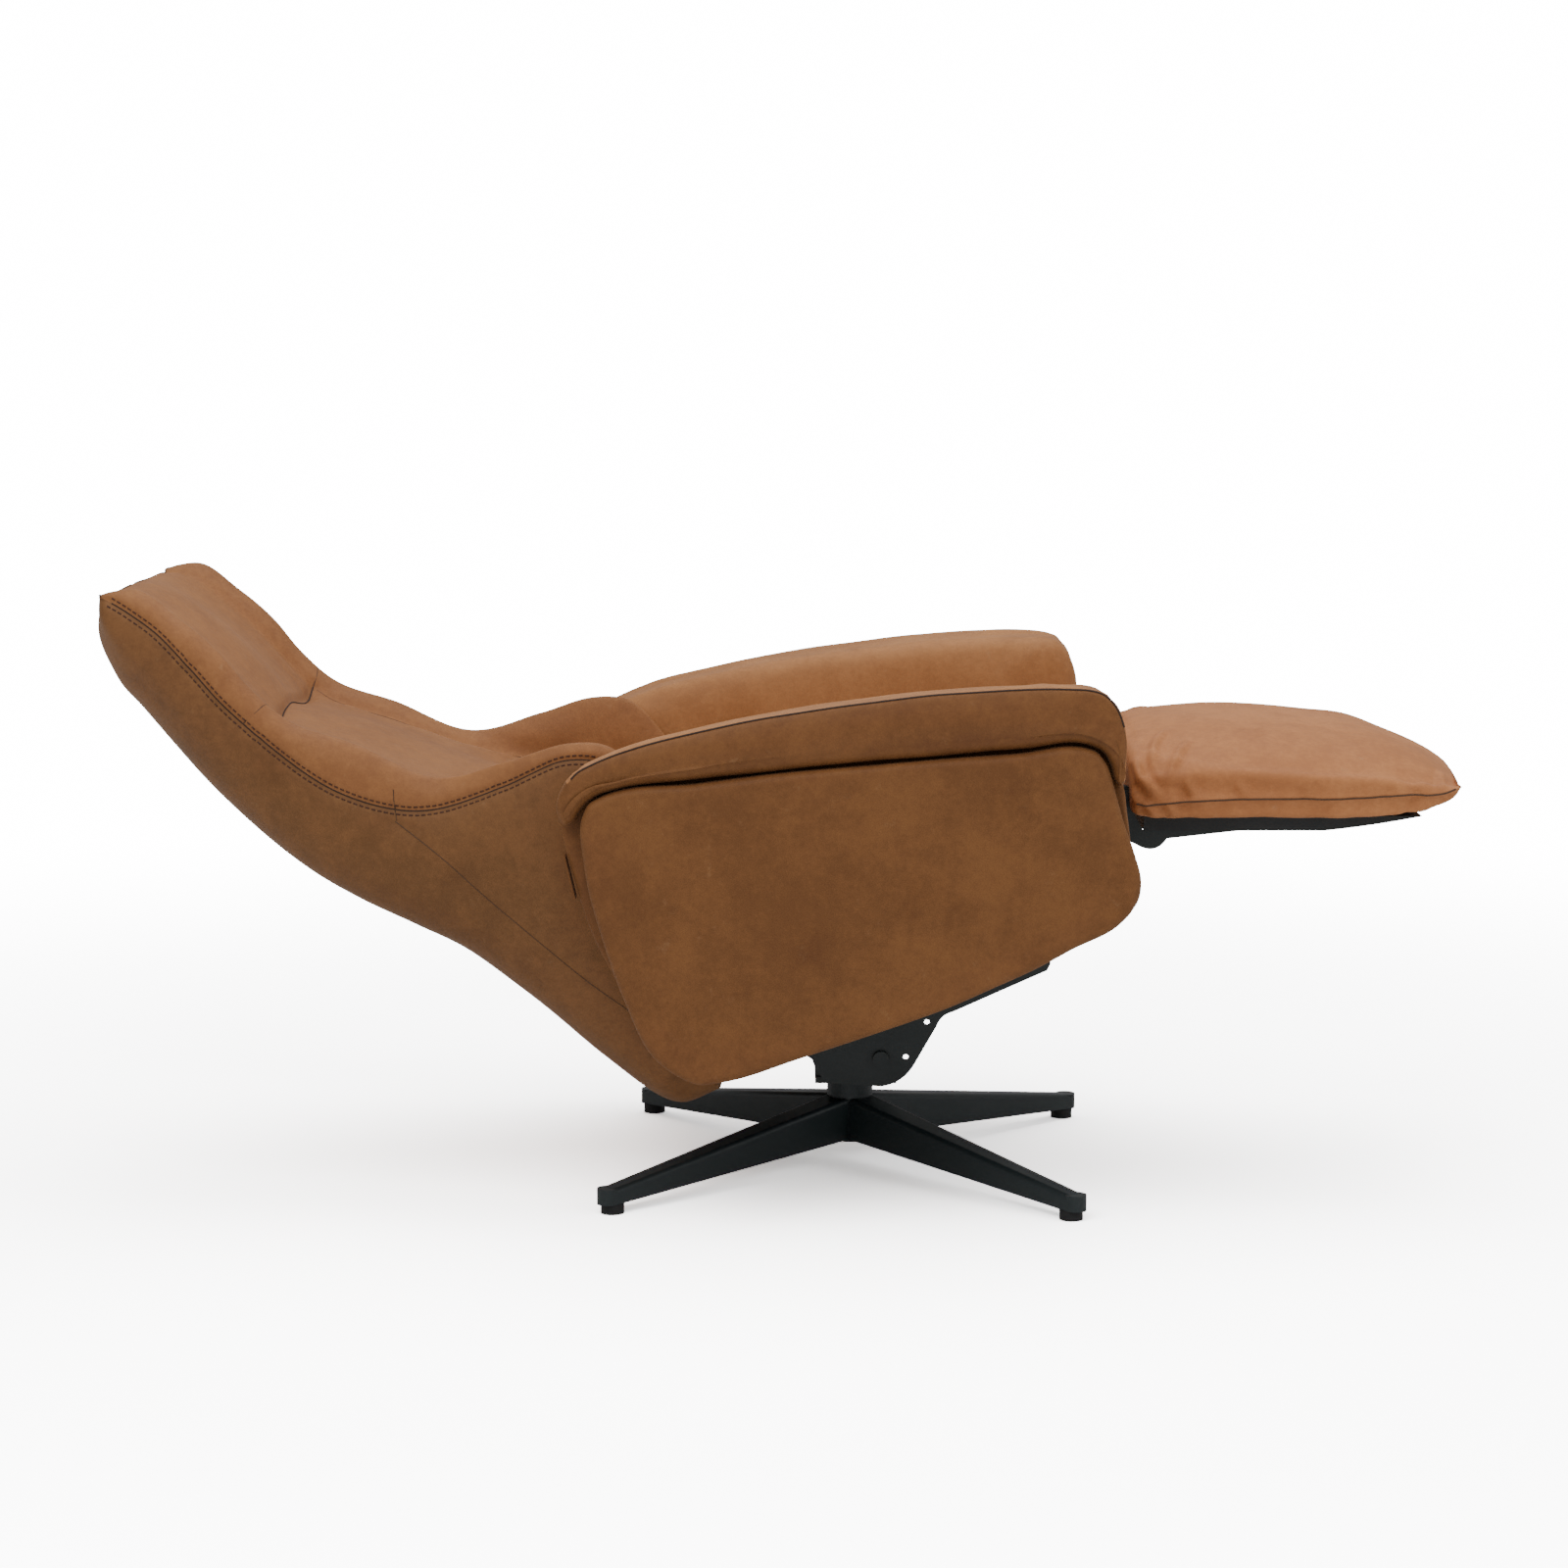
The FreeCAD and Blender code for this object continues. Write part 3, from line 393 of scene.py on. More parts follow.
def normals(piece):
    return vertex_values(piece.data, "normal")


def place(piece, points):
    piece.data.vertices.foreach_set("co", np.asarray(points, float).ravel())
    piece.data.update()


def distance_to_path(points, path):
    """For each point, the distance to a polyline and how far along it the nearest place is."""
    best = np.full(len(points), np.inf)
    along = np.zeros(len(points))
    reach = lengths(path)
    for k, (a, b) in enumerate(zip(path[:-1], path[1:])):
        run = b - a
        size = max(run @ run, 1e-12)
        part = np.clip((points - a) @ run / size, 0, 1)
        gap = np.linalg.norm(points - (a + part[:, None] * run), axis=1)
        closer = gap < best
        best[closer] = gap[closer]
        along[closer] = (reach[k] + part * math.sqrt(size))[closer]
    return best, along


def press(piece, path, deep, wide):
    """Press a rounded groove into a piece along a path; a negative depth raises a welt."""
    points = positions(piece)
    gap, _ = distance_to_path(points, np.asarray(path))
    place(piece, points - normals(piece) * (deep * np.exp(-(gap / wide) ** 2))[:, None])


def undulate(piece, high, wave, seed):
    """Slight unevenness of filled leather: a few soft waves of fixed random directions."""
    random = np.random.default_rng(seed)
    points = positions(piece)
    amount = np.zeros(len(points))
    for _ in range(14):
        way = random.normal(size=3)
        way /= np.linalg.norm(way) * wave * random.uniform(0.7, 1.6)
        amount += np.sin(points @ way * 2 * math.pi + random.uniform(0, 2 * math.pi))
    place(piece, points + normals(piece) * (high * amount / 3.7)[:, None])


def crease(piece, path, deep, wide):
    """One short fold in filled leather: a groove that fades at its ends, with a soft ridge beside it."""
    points = positions(piece)
    gap, along = distance_to_path(points, np.asarray(path))
    fade = np.sin(math.pi * np.clip(along / lengths(path)[-1], 0, 1)) ** 0.6
    shape = np.exp(-(gap / wide) ** 2) - 0.45 * np.exp(-((gap - 2.2 * wide) / (1.2 * wide)) ** 2)
    near = gap < 6 * wide
    place(piece, points - normals(piece) * (deep * shape * fade * near)[:, None])


def ripple(piece, path, high, pitch, reach, seed):
    """Gathered leather beside a seam: short folds across it that fade with distance."""
    points = positions(piece)
    gap, along = distance_to_path(points, np.asarray(path))
    random = np.random.default_rng(seed)
    wave = np.zeros(len(points))
    total = lengths(path)[-1]
    place_at = 0.0
    while place_at < total:
        size = random.uniform(0.3, 1.0) * high
        lean = random.uniform(-0.5, 0.5)
        thick = pitch * random.uniform(0.22, 0.42)
        wave += size * np.exp(-((along + lean * gap - place_at) / thick) ** 2)
        place_at += pitch * random.uniform(0.6, 1.5)
    fade = np.exp(-(gap / reach) ** 2) * np.clip(gap / (0.15 * reach), 0, 1)
    place(piece, points + normals(piece) * (wave * fade)[:, None])


def settle(piece, held, pressure, most, steps, stiff=18.0):
    """Let a pad fill under pressure as cloth, with its held points pinned."""
    group = piece.vertex_groups.new(name="held")
    group.add([int(index) for index in held], 1.0, "REPLACE")
    rest = positions(piece)
    cloth = piece.modifiers.new("filling", "CLOTH")
    settings = cloth.settings
    settings.quality = 6
    settings.mass = 0.25
    settings.tension_stiffness = stiff
    settings.compression_stiffness = stiff
    settings.shear_stiffness = stiff * 0.5
    settings.bending_stiffness = 1.2
    settings.tension_damping = 10
    settings.compression_damping = 10
    settings.use_pressure = True
    settings.uniform_pressure_force = pressure
    settings.effector_weights.gravity = 0
    settings.vertex_group_mass = "held"
    settings.pin_stiffness = 1.0
    cloth.collision_settings.use_collision = False
    scene = bpy.context.scene
    for step in range(1, steps + 1):
        scene.frame_set(step)
    seen = piece.evaluated_get(bpy.context.evaluated_depsgraph_get())
    moved = vertex_values(seen.data, "co") - rest
    size = np.linalg.norm(moved, axis=1, keepdims=True)
    moved *= most * np.tanh(size / most) / np.maximum(size, 1e-9)
    piece.modifiers.remove(cloth)
    piece.vertex_groups.remove(group)
    scene.frame_set(1)
    place(piece, rest + moved)


def refine(piece, levels=1):
    """Subdivide a finished piece for good."""
    smooth = piece.modifiers.new("smooth", "SUBSURF")
    smooth.levels = smooth.render_levels = levels
    made = bpy.data.meshes.new_from_object(piece.evaluated_get(bpy.context.evaluated_depsgraph_get()))
    old = piece.data
    piece.modifiers.clear()
    piece.data = made
    made.name = old.name
    bpy.data.meshes.remove(old)
    made.shade_smooth()


def smoothed(path, times):
    """A path with its small kinks averaged out and its ends kept."""
    path = np.array(path)
    for _ in range(times):
        path[1:-1] = (path[:-2] + 2 * path[1:-1] + path[2:]) / 4
    return path


def surface_of(piece):
    """A search tree over a piece's faces."""
    work = bmesh.new()
    work.from_mesh(piece.data)
    tree = BVHTree.FromBMesh(work)
    work.free()
    return tree


def snap(piece, path, lift=0.0):
    """The nearest places on a piece's surface to the points of a path, lifted off it."""
    surface = surface_of(piece)
    found = []
    for point in path:
        spot, normal, _, _ = surface.find_nearest(Vector(point))
        found.append(spot + normal * lift)
    return np.array(found)


def side_seam_on(piece, outline, sign, count, lift=0.0):
    """A seam given in side view, laid on the piece's outside as seen from that side."""
    surface = surface_of(piece)
    found = []
    for x, z in even(np.array(outline, float), count):
        start = Vector((x * MM, sign * WELL_OUTSIDE, z * MM))
        spot, normal, _, _ = surface.ray_cast(start, Vector((0, -sign, 0)))
        if spot is not None:
            found.append(spot + normal * lift)
    return np.array(found)


def beside(piece, path, offset, lift=0.0):
    """A path moved sideways along a piece's surface, for a row of stitches beside a seam."""
    surface = surface_of(piece)
    path = np.asarray(path)
    found = []
    for point, run in zip(path, np.gradient(path, axis=0)):
        _, normal, _, _ = surface.find_nearest(Vector(point))
        across = Vector(run).cross(normal)
        if across.length < 1e-9:
            continue
        spot, outward, _, _ = surface.find_nearest(Vector(point) + across.normalized() * offset)
        found.append(spot + outward * lift)
    found = np.array(found)
    kept = [0]
    for k in range(1, len(found)):
        if np.linalg.norm(found[k] - found[kept[-1]]) > LEAST_STEP:
            kept.append(k)
    return found[kept]


# ------------------------------------------------------------------ materials


SURFACE_OUTPUTS = (("Color", "NodeSocketColor"), ("Roughness", "NodeSocketFloat"),
                   ("Height", "NodeSocketFloat"))


def socket_group(name, inputs):
    """An empty shader group with named inputs, which gives a colour, a roughness and a height."""
    group = bpy.data.node_groups.new(name, "ShaderNodeTree")
    for label, kind, value in inputs:
        socket = group.interface.new_socket(label, in_out="INPUT", socket_type=kind)
        if value is not None:
            socket.default_value = value
    for label, kind in SURFACE_OUTPUTS:
        group.interface.new_socket(label, in_out="OUTPUT", socket_type=kind)
    return group, group.nodes.new("NodeGroupInput"), group.nodes.new("NodeGroupOutput")


def noise(group, vector, scale, detail, rough):
    node = group.nodes.new("ShaderNodeTexNoise")
    node.inputs["Scale"].default_value = scale
    node.inputs["Detail"].default_value = detail
    node.inputs["Roughness"].default_value = rough
    group.links.new(vector, node.inputs["Vector"])
    return node


def ramp(group, value, low, high):
    """A mask that rises from 0 to 1 between two values."""
    node = group.nodes.new("ShaderNodeMapRange")
    node.interpolation_type = "SMOOTHSTEP"
    node.inputs["From Min"].default_value = low
    node.inputs["From Max"].default_value = high
    group.links.new(value, node.inputs["Value"])
    return node.outputs["Result"]


def maths(group, operation, first, second):
    node = group.nodes.new("ShaderNodeMath")
    node.operation = operation
    for socket, value in zip(node.inputs, (first, second)):
        if isinstance(value, (int, float)):
            socket.default_value = value
        else:
            group.links.new(value, socket)
    return node.outputs[0]


def blended(group, mode, factor, first, second):
    node = group.nodes.new("ShaderNodeMix")
    node.data_type = "RGBA"
    node.blend_type = mode
    for socket, value in ((node.inputs[0], factor), (node.inputs[6], first), (node.inputs[7], second)):
        if isinstance(value, bpy.types.NodeSocket):
            group.links.new(value, socket)
        else:
            socket.default_value = value
    return node.outputs[2]


def leather_group():
    """Waxed nubuck: cloudy tone, darker rubbed patches, pale scuffs and a fine pore."""
    if "worn_leather" in bpy.data.node_groups:
        return bpy.data.node_groups["worn_leather"]
    group, given, out = socket_group(
        "worn_leather",
        [("Light", "NodeSocketColor", (0.4, 0.2, 0.1, 1)), ("Dark", "NodeSocketColor", (0.2, 0.1, 0.05, 1)),
         ("Clouds", "NodeSocketFloat", 5.0), ("Scuffs", "NodeSocketFloat", 0.35),
         ("Grain", "NodeSocketFloat", 900.0)])
    where = group.nodes.new("ShaderNodeTexCoord").outputs["Object"]
    broad = noise(group, where, 5.0, 3.0, 0.55)
    group.links.new(given.outputs["Clouds"], broad.inputs["Scale"])
    mottle = noise(group, where, 34.0, 6.0, 0.70)
    fine = noise(group, where, 140.0, 4.0, 0.6)
    tone = maths(group, "ADD", maths(group, "MULTIPLY", broad.outputs["Fac"], 0.40),
                 maths(group, "ADD", maths(group, "MULTIPLY", mottle.outputs["Fac"], 0.38),
                       maths(group, "MULTIPLY", fine.outputs["Fac"], 0.22)))
    base = blended(group, "MIX", ramp(group, tone, 0.38, 0.62), given.outputs["Dark"], given.outputs["Light"])
    scuff = noise(group, where, 44.0, 6.0, 0.72)
    mask = maths(group, "MULTIPLY", ramp(group, scuff.outputs["Fac"], 0.60, 0.78), given.outputs["Scuffs"])
    pale = blended(group, "MIX", mask, base, (0.50, 0.29, 0.15, 1))
    rubbed = noise(group, where, 11.0, 4.0, 0.6)
    shade = maths(group, "MULTIPLY", ramp(group, rubbed.outputs["Fac"], 0.55, 0.72), 0.30)
    colour = blended(group, "MULTIPLY", shade, pale, (0.60, 0.52, 0.46, 1))
    group.links.new(colour, out.inputs["Color"])
    rough = maths(group, "ADD", maths(group, "MULTIPLY", mottle.outputs["Fac"], 0.22), 0.50)
    group.links.new(rough, out.inputs["Roughness"])
    pores = group.nodes.new("ShaderNodeTexVoronoi")
    pores.feature = "SMOOTH_F1"
    group.links.new(where, pores.inputs["Vector"])
    group.links.new(given.outputs["Grain"], pores.inputs["Scale"])
    crease = noise(group, where, 210.0, 5.0, 0.7)
    soft = noise(group, where, 34.0, 3.0, 0.5)
    height = maths(group, "ADD", maths(group, "MULTIPLY", pores.outputs["Distance"], 0.22),
                   maths(group, "ADD", maths(group, "MULTIPLY", crease.outputs["Fac"], 0.5),
                         maths(group, "MULTIPLY", soft.outputs["Fac"], 1.6)))
    group.links.new(height, out.inputs["Height"])
    return group


def speck_group():
    """Powder coat: a faint orange-peel height and slightly uneven gloss and tone."""
    if "powder_coat" in bpy.data.node_groups:
        return bpy.data.node_groups["powder_coat"]
    group, given, out = socket_group(
        "powder_coat",
        [("Tone", "NodeSocketColor", (0.05, 0.05, 0.05, 1)), ("Peel", "NodeSocketFloat", 900.0),
         ("Gloss", "NodeSocketFloat", 0.42)])
    where = group.nodes.new("ShaderNodeTexCoord").outputs["Object"]
    peel = noise(group, where, 900.0, 2.0, 0.5)
    group.links.new(given.outputs["Peel"], peel.inputs["Scale"])
    cloud = noise(group, where, 9.0, 4.0, 0.6)
    colour = blended(group, "MULTIPLY", maths(group, "MULTIPLY", cloud.outputs["Fac"], 0.5),
                     given.outputs["Tone"], (0.72, 0.74, 0.76, 1))
    group.links.new(colour, out.inputs["Color"])
    uneven = maths(group, "MULTIPLY", ramp(group, cloud.outputs["Fac"], 0.3, 0.7), 0.10)
    group.links.new(maths(group, "ADD", given.outputs["Gloss"], uneven), out.inputs["Roughness"])
    group.links.new(peel.outputs["Fac"], out.inputs["Height"])
    return group


def surfaced(name, group, values, bump, distance, metallic=0.0):
    """A material whose colour, roughness and bump come from a shared group."""
    material = bpy.data.materials.new(name)
    material.use_nodes = True
    tree = material.node_tree
    shader = tree.nodes["Principled BSDF"]
    shader.inputs["Metallic"].default_value = metallic
    made = tree.nodes.new("ShaderNodeGroup")
    made.node_tree = group
    for label, value in values.items():
        made.inputs[label].default_value = value
    tree.links.new(made.outputs["Color"], shader.inputs["Base Color"])
    tree.links.new(made.outputs["Roughness"], shader.inputs["Roughness"])
    relief = tree.nodes.new("ShaderNodeBump")
    relief.inputs["Strength"].default_value = bump
    relief.inputs["Distance"].default_value = distance
    tree.links.new(made.outputs["Height"], relief.inputs["Height"])
    tree.links.new(relief.outputs["Normal"], shader.inputs["Normal"])
    return material


def leather(name, light, dark, clouds, scuffs):
    """A leather finish; a little sheen gives the nubuck's pale edge."""
    if name in finishes:
        return finishes[name]
    settings = bpy.context.scene.armchair_leather
    tones = {"Light": (*light, 1), "Dark": (*dark, 1), "Clouds": clouds, "Scuffs": scuffs,
             "Grain": settings.grain}
    material = finishes[name] = surfaced(name, leather_group(), tones, 0.45, 0.0012)
    shader = material.node_tree.nodes["Principled BSDF"]
    shader.inputs["Specular IOR Level"].default_value = 0.24
    shader.inputs["Sheen Weight"].default_value = 0.07
    shader.inputs["Sheen Roughness"].default_value = 0.45
    shader.inputs["Sheen Tint"].default_value = (0.95, 0.72, 0.52, 1)
    return material


def seat_leather():
    settings = bpy.context.scene.armchair_leather
    return leather("seat_leather", settings.seat_light, settings.seat_dark, 4.0, 0.30)


def arm_leather():
    settings = bpy.context.scene.armchair_leather
    return leather("arm_leather", settings.arm_light, settings.arm_dark, 6.0, 0.30)


# A darker copy of the arm leather: painted shade for surfaces that face away from the light.
def panel_shade_leather():
    settings = bpy.context.scene.armchair_leather
    return leather("panel_shade_leather", settings.panel_light, settings.panel_dark, 6.0, 0.20)


def footrest_leather():
    settings = bpy.context.scene.armchair_leather
    return leather("footrest_leather", settings.footrest_light, settings.footrest_dark, 5.0, 0.30)


# A darker copy of the seat leather: mostly painted shade for the back's sides and rear.
def shell_leather():
    settings = bpy.context.scene.armchair_leather
    return leather("shell_leather", settings.shell_light, settings.shell_dark, 5.0, 0.22)


def dressed(piece, *materials):
    """Give a piece its materials; its faces keep their material numbers."""
    kinds = np.zeros(len(piece.data.polygons), int)
    piece.data.polygons.foreach_get("material_index", kinds)
    piece.data.materials.clear()
    for material in materials:
        piece.data.materials.append(material)
    piece.data.polygons.foreach_set("material_index", np.minimum(kinds, len(materials) - 1))
    return piece


# ------------------------------------------------------------------ seams


def curve_of(name, path):
    """A poly curve object along a path, for a seam tree to work on."""
    curve = bpy.data.curves.new(name, "CURVE")
    curve.dimensions = "3D"
    spline = curve.splines.new("POLY")
    spline.points.add(len(path) - 1)
    for point, where in zip(spline.points, path):
        point.co = (*where, 1)
    piece = bpy.data.objects.new(name, curve)
    bpy.context.scene.collection.objects.link(piece)
    return piece


def tree_with(name, inputs):
    """A Geometry Nodes tree with a geometry socket and named number inputs."""
    tree = bpy.data.node_groups.new(name, "GeometryNodeTree")
    tree.interface.new_socket("Geometry", in_out="INPUT", socket_type="NodeSocketGeometry")
    sockets = {}
    for label, kind in inputs:
        sockets[label] = tree.interface.new_socket(label, in_out="INPUT", socket_type=kind).identifier
    tree.interface.new_socket("Geometry", in_out="OUTPUT", socket_type="NodeSocketGeometry")
    return tree, sockets, tree.nodes.new("NodeGroupInput"), tree.nodes.new("NodeGroupOutput")


def known_tree(name):
    """A seam tree that was made before, with its inputs' identifiers."""
    tree = bpy.data.node_groups[name]
    return tree, {item.name: item.identifier for item in tree.interface.items_tree
                  if item.in_out == "INPUT"}


def piping_tree():
    """A round cord along a curve, with its ends closed."""
    if "piping" in bpy.data.node_groups:
        return known_tree("piping")
    tree, sockets, given, out = tree_with("piping", [("Radius", "NodeSocketFloat"),
                                                     ("Material", "NodeSocketMaterial")])
    spaced = tree.nodes.new("GeometryNodeResampleCurve")
    spaced.mode = "LENGTH"
    spaced.inputs["Length"].default_value = 0.006
    ring = tree.nodes.new("GeometryNodeCurvePrimitiveCircle")
    ring.inputs["Resolution"].default_value = 8
    swept = tree.nodes.new("GeometryNodeCurveToMesh")
    swept.inputs["Fill Caps"].default_value = True
    smooth = tree.nodes.new("GeometryNodeSetShadeSmooth")
    real = tree.nodes.new("GeometryNodeRealizeInstances")
    paint = tree.nodes.new("GeometryNodeSetMaterial")
    tree.links.new(given.outputs["Geometry"], spaced.inputs["Curve"])
    tree.links.new(given.outputs["Radius"], ring.inputs["Radius"])
    tree.links.new(spaced.outputs["Curve"], swept.inputs["Curve"])
    tree.links.new(ring.outputs["Curve"], swept.inputs["Profile Curve"])
    tree.links.new(swept.outputs["Mesh"], smooth.inputs["Geometry"])
    tree.links.new(smooth.outputs["Geometry"], real.inputs["Geometry"])
    tree.links.new(real.outputs["Geometry"], paint.inputs["Geometry"])
    tree.links.new(given.outputs["Material"], paint.inputs["Material"])
    tree.links.new(paint.outputs["Geometry"], out.inputs["Geometry"])
    return tree, sockets


def stitch_tree():
    """A row of short threads laid along a curve."""
    if "stitches" in bpy.data.node_groups:
        return known_tree("stitches")
    tree, sockets, given, out = tree_with("stitches", [
        ("Pitch", "NodeSocketFloat"), ("Long", "NodeSocketFloat"), ("Thick", "NodeSocketFloat"),
        ("Material", "NodeSocketMaterial")])
    points = tree.nodes.new("GeometryNodeCurveToPoints")
    points.mode = "LENGTH"
    thread = tree.nodes.new("GeometryNodeMeshCylinder")
    thread.inputs["Vertices"].default_value = 6
    turned = tree.nodes.new("GeometryNodeInstanceOnPoints")
    real = tree.nodes.new("GeometryNodeRealizeInstances")
    smooth = tree.nodes.new("GeometryNodeSetShadeSmooth")
    paint = tree.nodes.new("GeometryNodeSetMaterial")
    align = tree.nodes.new("FunctionNodeAlignRotationToVector")
    align.axis = "Z"
    tree.links.new(given.outputs["Geometry"], points.inputs["Curve"])
    tree.links.new(given.outputs["Pitch"], points.inputs["Length"])
    tree.links.new(given.outputs["Thick"], thread.inputs["Radius"])
    tree.links.new(given.outputs["Long"], thread.inputs["Depth"])
    tree.links.new(points.outputs["Points"], turned.inputs["Points"])
    tree.links.new(thread.outputs["Mesh"], turned.inputs["Instance"])
    tree.links.new(points.outputs["Tangent"], align.inputs["Vector"])
    tree.links.new(align.outputs["Rotation"], turned.inputs["Rotation"])
    tree.links.new(turned.outputs["Instances"], real.inputs["Geometry"])
    tree.links.new(real.outputs["Geometry"], smooth.inputs["Geometry"])
    tree.links.new(smooth.outputs["Geometry"], paint.inputs["Geometry"])
    tree.links.new(given.outputs["Material"], paint.inputs["Material"])
    tree.links.new(paint.outputs["Geometry"], out.inputs["Geometry"])
    return tree, sockets


def worked(name, paths, tree, sockets, values):
    """Run a seam tree on each path and keep the result as one plain mesh piece."""
    pieces = []
    for number, path in enumerate(paths):
        line = curve_of(f"{name}_line_{number}", path)
        nodes = line.modifiers.new("work", "NODES")
        nodes.node_group = tree
        for label, value in values.items():
            nodes[sockets[label]] = value
        mesh = bpy.data.meshes.new_from_object(
            line.evaluated_get(bpy.context.evaluated_depsgraph_get()), preserve_all_data_layers=True)
        pieces.append(mesh)
        old = line.data
        bpy.data.objects.remove(line)
        bpy.data.curves.remove(old)
    work = bmesh.new()
    for mesh in pieces:
        work.from_mesh(mesh)
    joined = bpy.data.meshes.new(name)
    work.to_mesh(joined)
    work.free()
    joined.materials.append(values["Material"])
    for mesh in pieces:
        bpy.data.meshes.remove(mesh)
    joined.shade_smooth()
    piece = bpy.data.objects.new(name, joined)
    bpy.context.scene.collection.objects.link(piece)
    return piece


def piping(name, paths, material, radius=None):
    tree, sockets = piping_tree()
    settings = bpy.context.scene.armchair_seams
    return worked(name, paths, tree, sockets, {"Radius": radius or settings.cord_radius,
                                               "Material": material})


def stitches(name, paths):
    tree, sockets = stitch_tree()
    settings = bpy.context.scene.armchair_seams
    return worked(name, paths, tree, sockets, {
        "Pitch": settings.stitch_gap, "Long": settings.stitch_long, "Thick": settings.stitch_thick,
        "Material": thread_finish()})


def cord_finish(name, tone, peel, gloss, bump):
    """The finish of a thread or a thin cord, made once."""
    if name not in finishes:
        finishes[name] = surfaced(name, speck_group(), {"Tone": (*tone, 1), "Peel": peel, "Gloss": gloss},
                                  bump, 0.0002)
    return finishes[name]


def thread_finish():
    settings = bpy.context.scene.armchair_seams
    return cord_finish("thread", settings.thread, 2500.0, 0.62, 0.4)


# A near-black cord laid in seam grooves, in the back's fold and along the arms' piping: painted shadow in the
# grooves, over the real piping on the arms.
def seam_shadow():
    return cord_finish("seam_shadow_line", (0.035, 0.014, 0.007), 1200.0, 0.7, 0.3)


# A less dark cord sunk into valleys, folds and side seams, and laid on the footrest's piping: painted shade
# in their grooves.
def fold_shadow_line():
    return cord_finish("fold_shadow_line", (0.085, 0.038, 0.015), 1200.0, 0.7, 0.3)


# ------------------------------------------------------------------ backrest

# Side-view lines of the back and headrest, from its lower end up to the top seam.
BACK_MIDDLE = [(-165, 352), (-166, 415), (-203, 465), (-262, 482), (-330, 474), (-410, 485), (-499, 507),
               (-590, 541), (-676, 572), (-712, 604), (-752, 649), (-797, 691), (-842, 725), (-871, 733),
               (-886, 732)]
BACK_CREST = [(-222, 345), (-236, 430), (-256, 520), (-288, 556), (-333, 560), (-405, 540), (-497, 516),
              (-590, 553), (-680, 586), (-716, 618), (-752, 662), (-795, 703), (-839, 740), (-868, 741),
              (-885, 735)]
BACK_SEAM = [(-228, 340), (-243, 425), (-262, 505), (-290, 540), (-338, 545), (-413, 513), (-510, 484),
             (-605, 505), (-697, 570), (-738, 607), (-775, 649), (-815, 692), (-848, 716), (-870, 729),
             (-884, 735)]
BACK_REAR = [(-160, 146), (-212, 116), (-300, 171), (-385, 246), (-452, 301), (-515, 343), (-577, 382),
             (-640, 421), (-712, 472), (-748, 504), (-792, 552), (-840, 610), (-872, 650), (-891, 700),
             (-886, 735)]
CREST_HALF = [262, 264, 266, 267, 266, 260, 244, 236, 235, 235, 235, 235, 236, 238, 236]
CREST_LIFT = [0, 0, 0, 1, 2, 3, 5, 7, 7, 8, 7, 5, 1, -2, 0]
SEAM_HALF = [268, 272, 275, 276, 275, 268, 259, 258, 258, 258, 258, 257, 255, 251, 243]
VALLEY_HALF = [236, 238, 238, 238, 236, 226, 206, 198, 196, 196, 196, 196, 198, 202, 205]
BELLY_HALF = [262, 268, 276, 279, 279, 274, 264, 259, 258, 258, 258, 256, 254, 250, 236]
CORNER_HALF = [252, 254, 256, 257, 256, 254, 250, 246, 242, 240, 238, 236, 232, 224, 205]
BACK_SPANS = ((15, 1), (8, 1), (6, 1), (8, 0.75), (13, 1.35), (10, 1), (14, 1))
LOWER_SIDE_SEAM = [(-539, 471), (-485, 430), (-428, 378), (-359, 319), (-313, 281), (-262, 244)]


def back_lines():
    """Half of the lengthwise lines of the back, from the middle of the front to the middle of the rear."""
    middle = line_at(BACK_MIDDLE, 0)
    valley = line_at(BACK_MIDDLE, VALLEY_HALF)
    crest = line_at(BACK_CREST, CREST_HALF)
    crest += np.array(CREST_LIFT)[:, None] * MM * np.array([0.45, 0, 0.9])
    seam = line_at(BACK_SEAM, SEAM_HALF)
    rear = line_at(BACK_REAR, 0)
    shoulder = crest + (seam - crest) * 0.42
    shoulder[:, 1] = np.array(SEAM_HALF) * MM - 0.0035
    belly = (seam + rear) / 2
    belly[:, 1] = np.array(BELLY_HALF) * MM
    corner = rear + (seam - rear) * 0.14
    corner[:, 1] = np.array(CORNER_HALF) * MM
    shoulder[-1] = (crest[-1] + seam[-1]) / 2
    belly[-1], corner[-1], rear[-1] = crest[-1], valley[-1], middle[-1]
    return np.array([middle, valley, crest, shoulder, seam, belly, corner, rear])


def mirror_spans(spans):
    """Spans of the other half, run the other way."""
    return tuple((count, 1 / crowd) for count, crowd in reversed(spans))


SHORT_SIDE_SEAM = [(-541, 508), (-540, 490), (-537, 472)]
BACK_ROWS = 150
FOLD_X = -0.690
FIRST_PAST_SEAT = 40
FIRST_HEADREST = 115
FIRST_STITCHED = 18
FIRST_VALLEY_CORD = 27
HIDDEN_FRONT = -0.25
MIDDLE_REAR_PIN = 0.03
FLAT = np.array([1, 0, 1])
RECLINE_AXIS = (-0.262, 0.380)
LOWER_FRONT_REACH = 0.1195
NEAR_SEAT_X = -0.20
NEAR_SEAT_HIGH = (0.38, 0.45)
POCKET_BACK = -0.292
POCKET_HALF = (0.034, 0.048)
POCKET_HIGH = (0.188, 0.202, 0.336, 0.350)


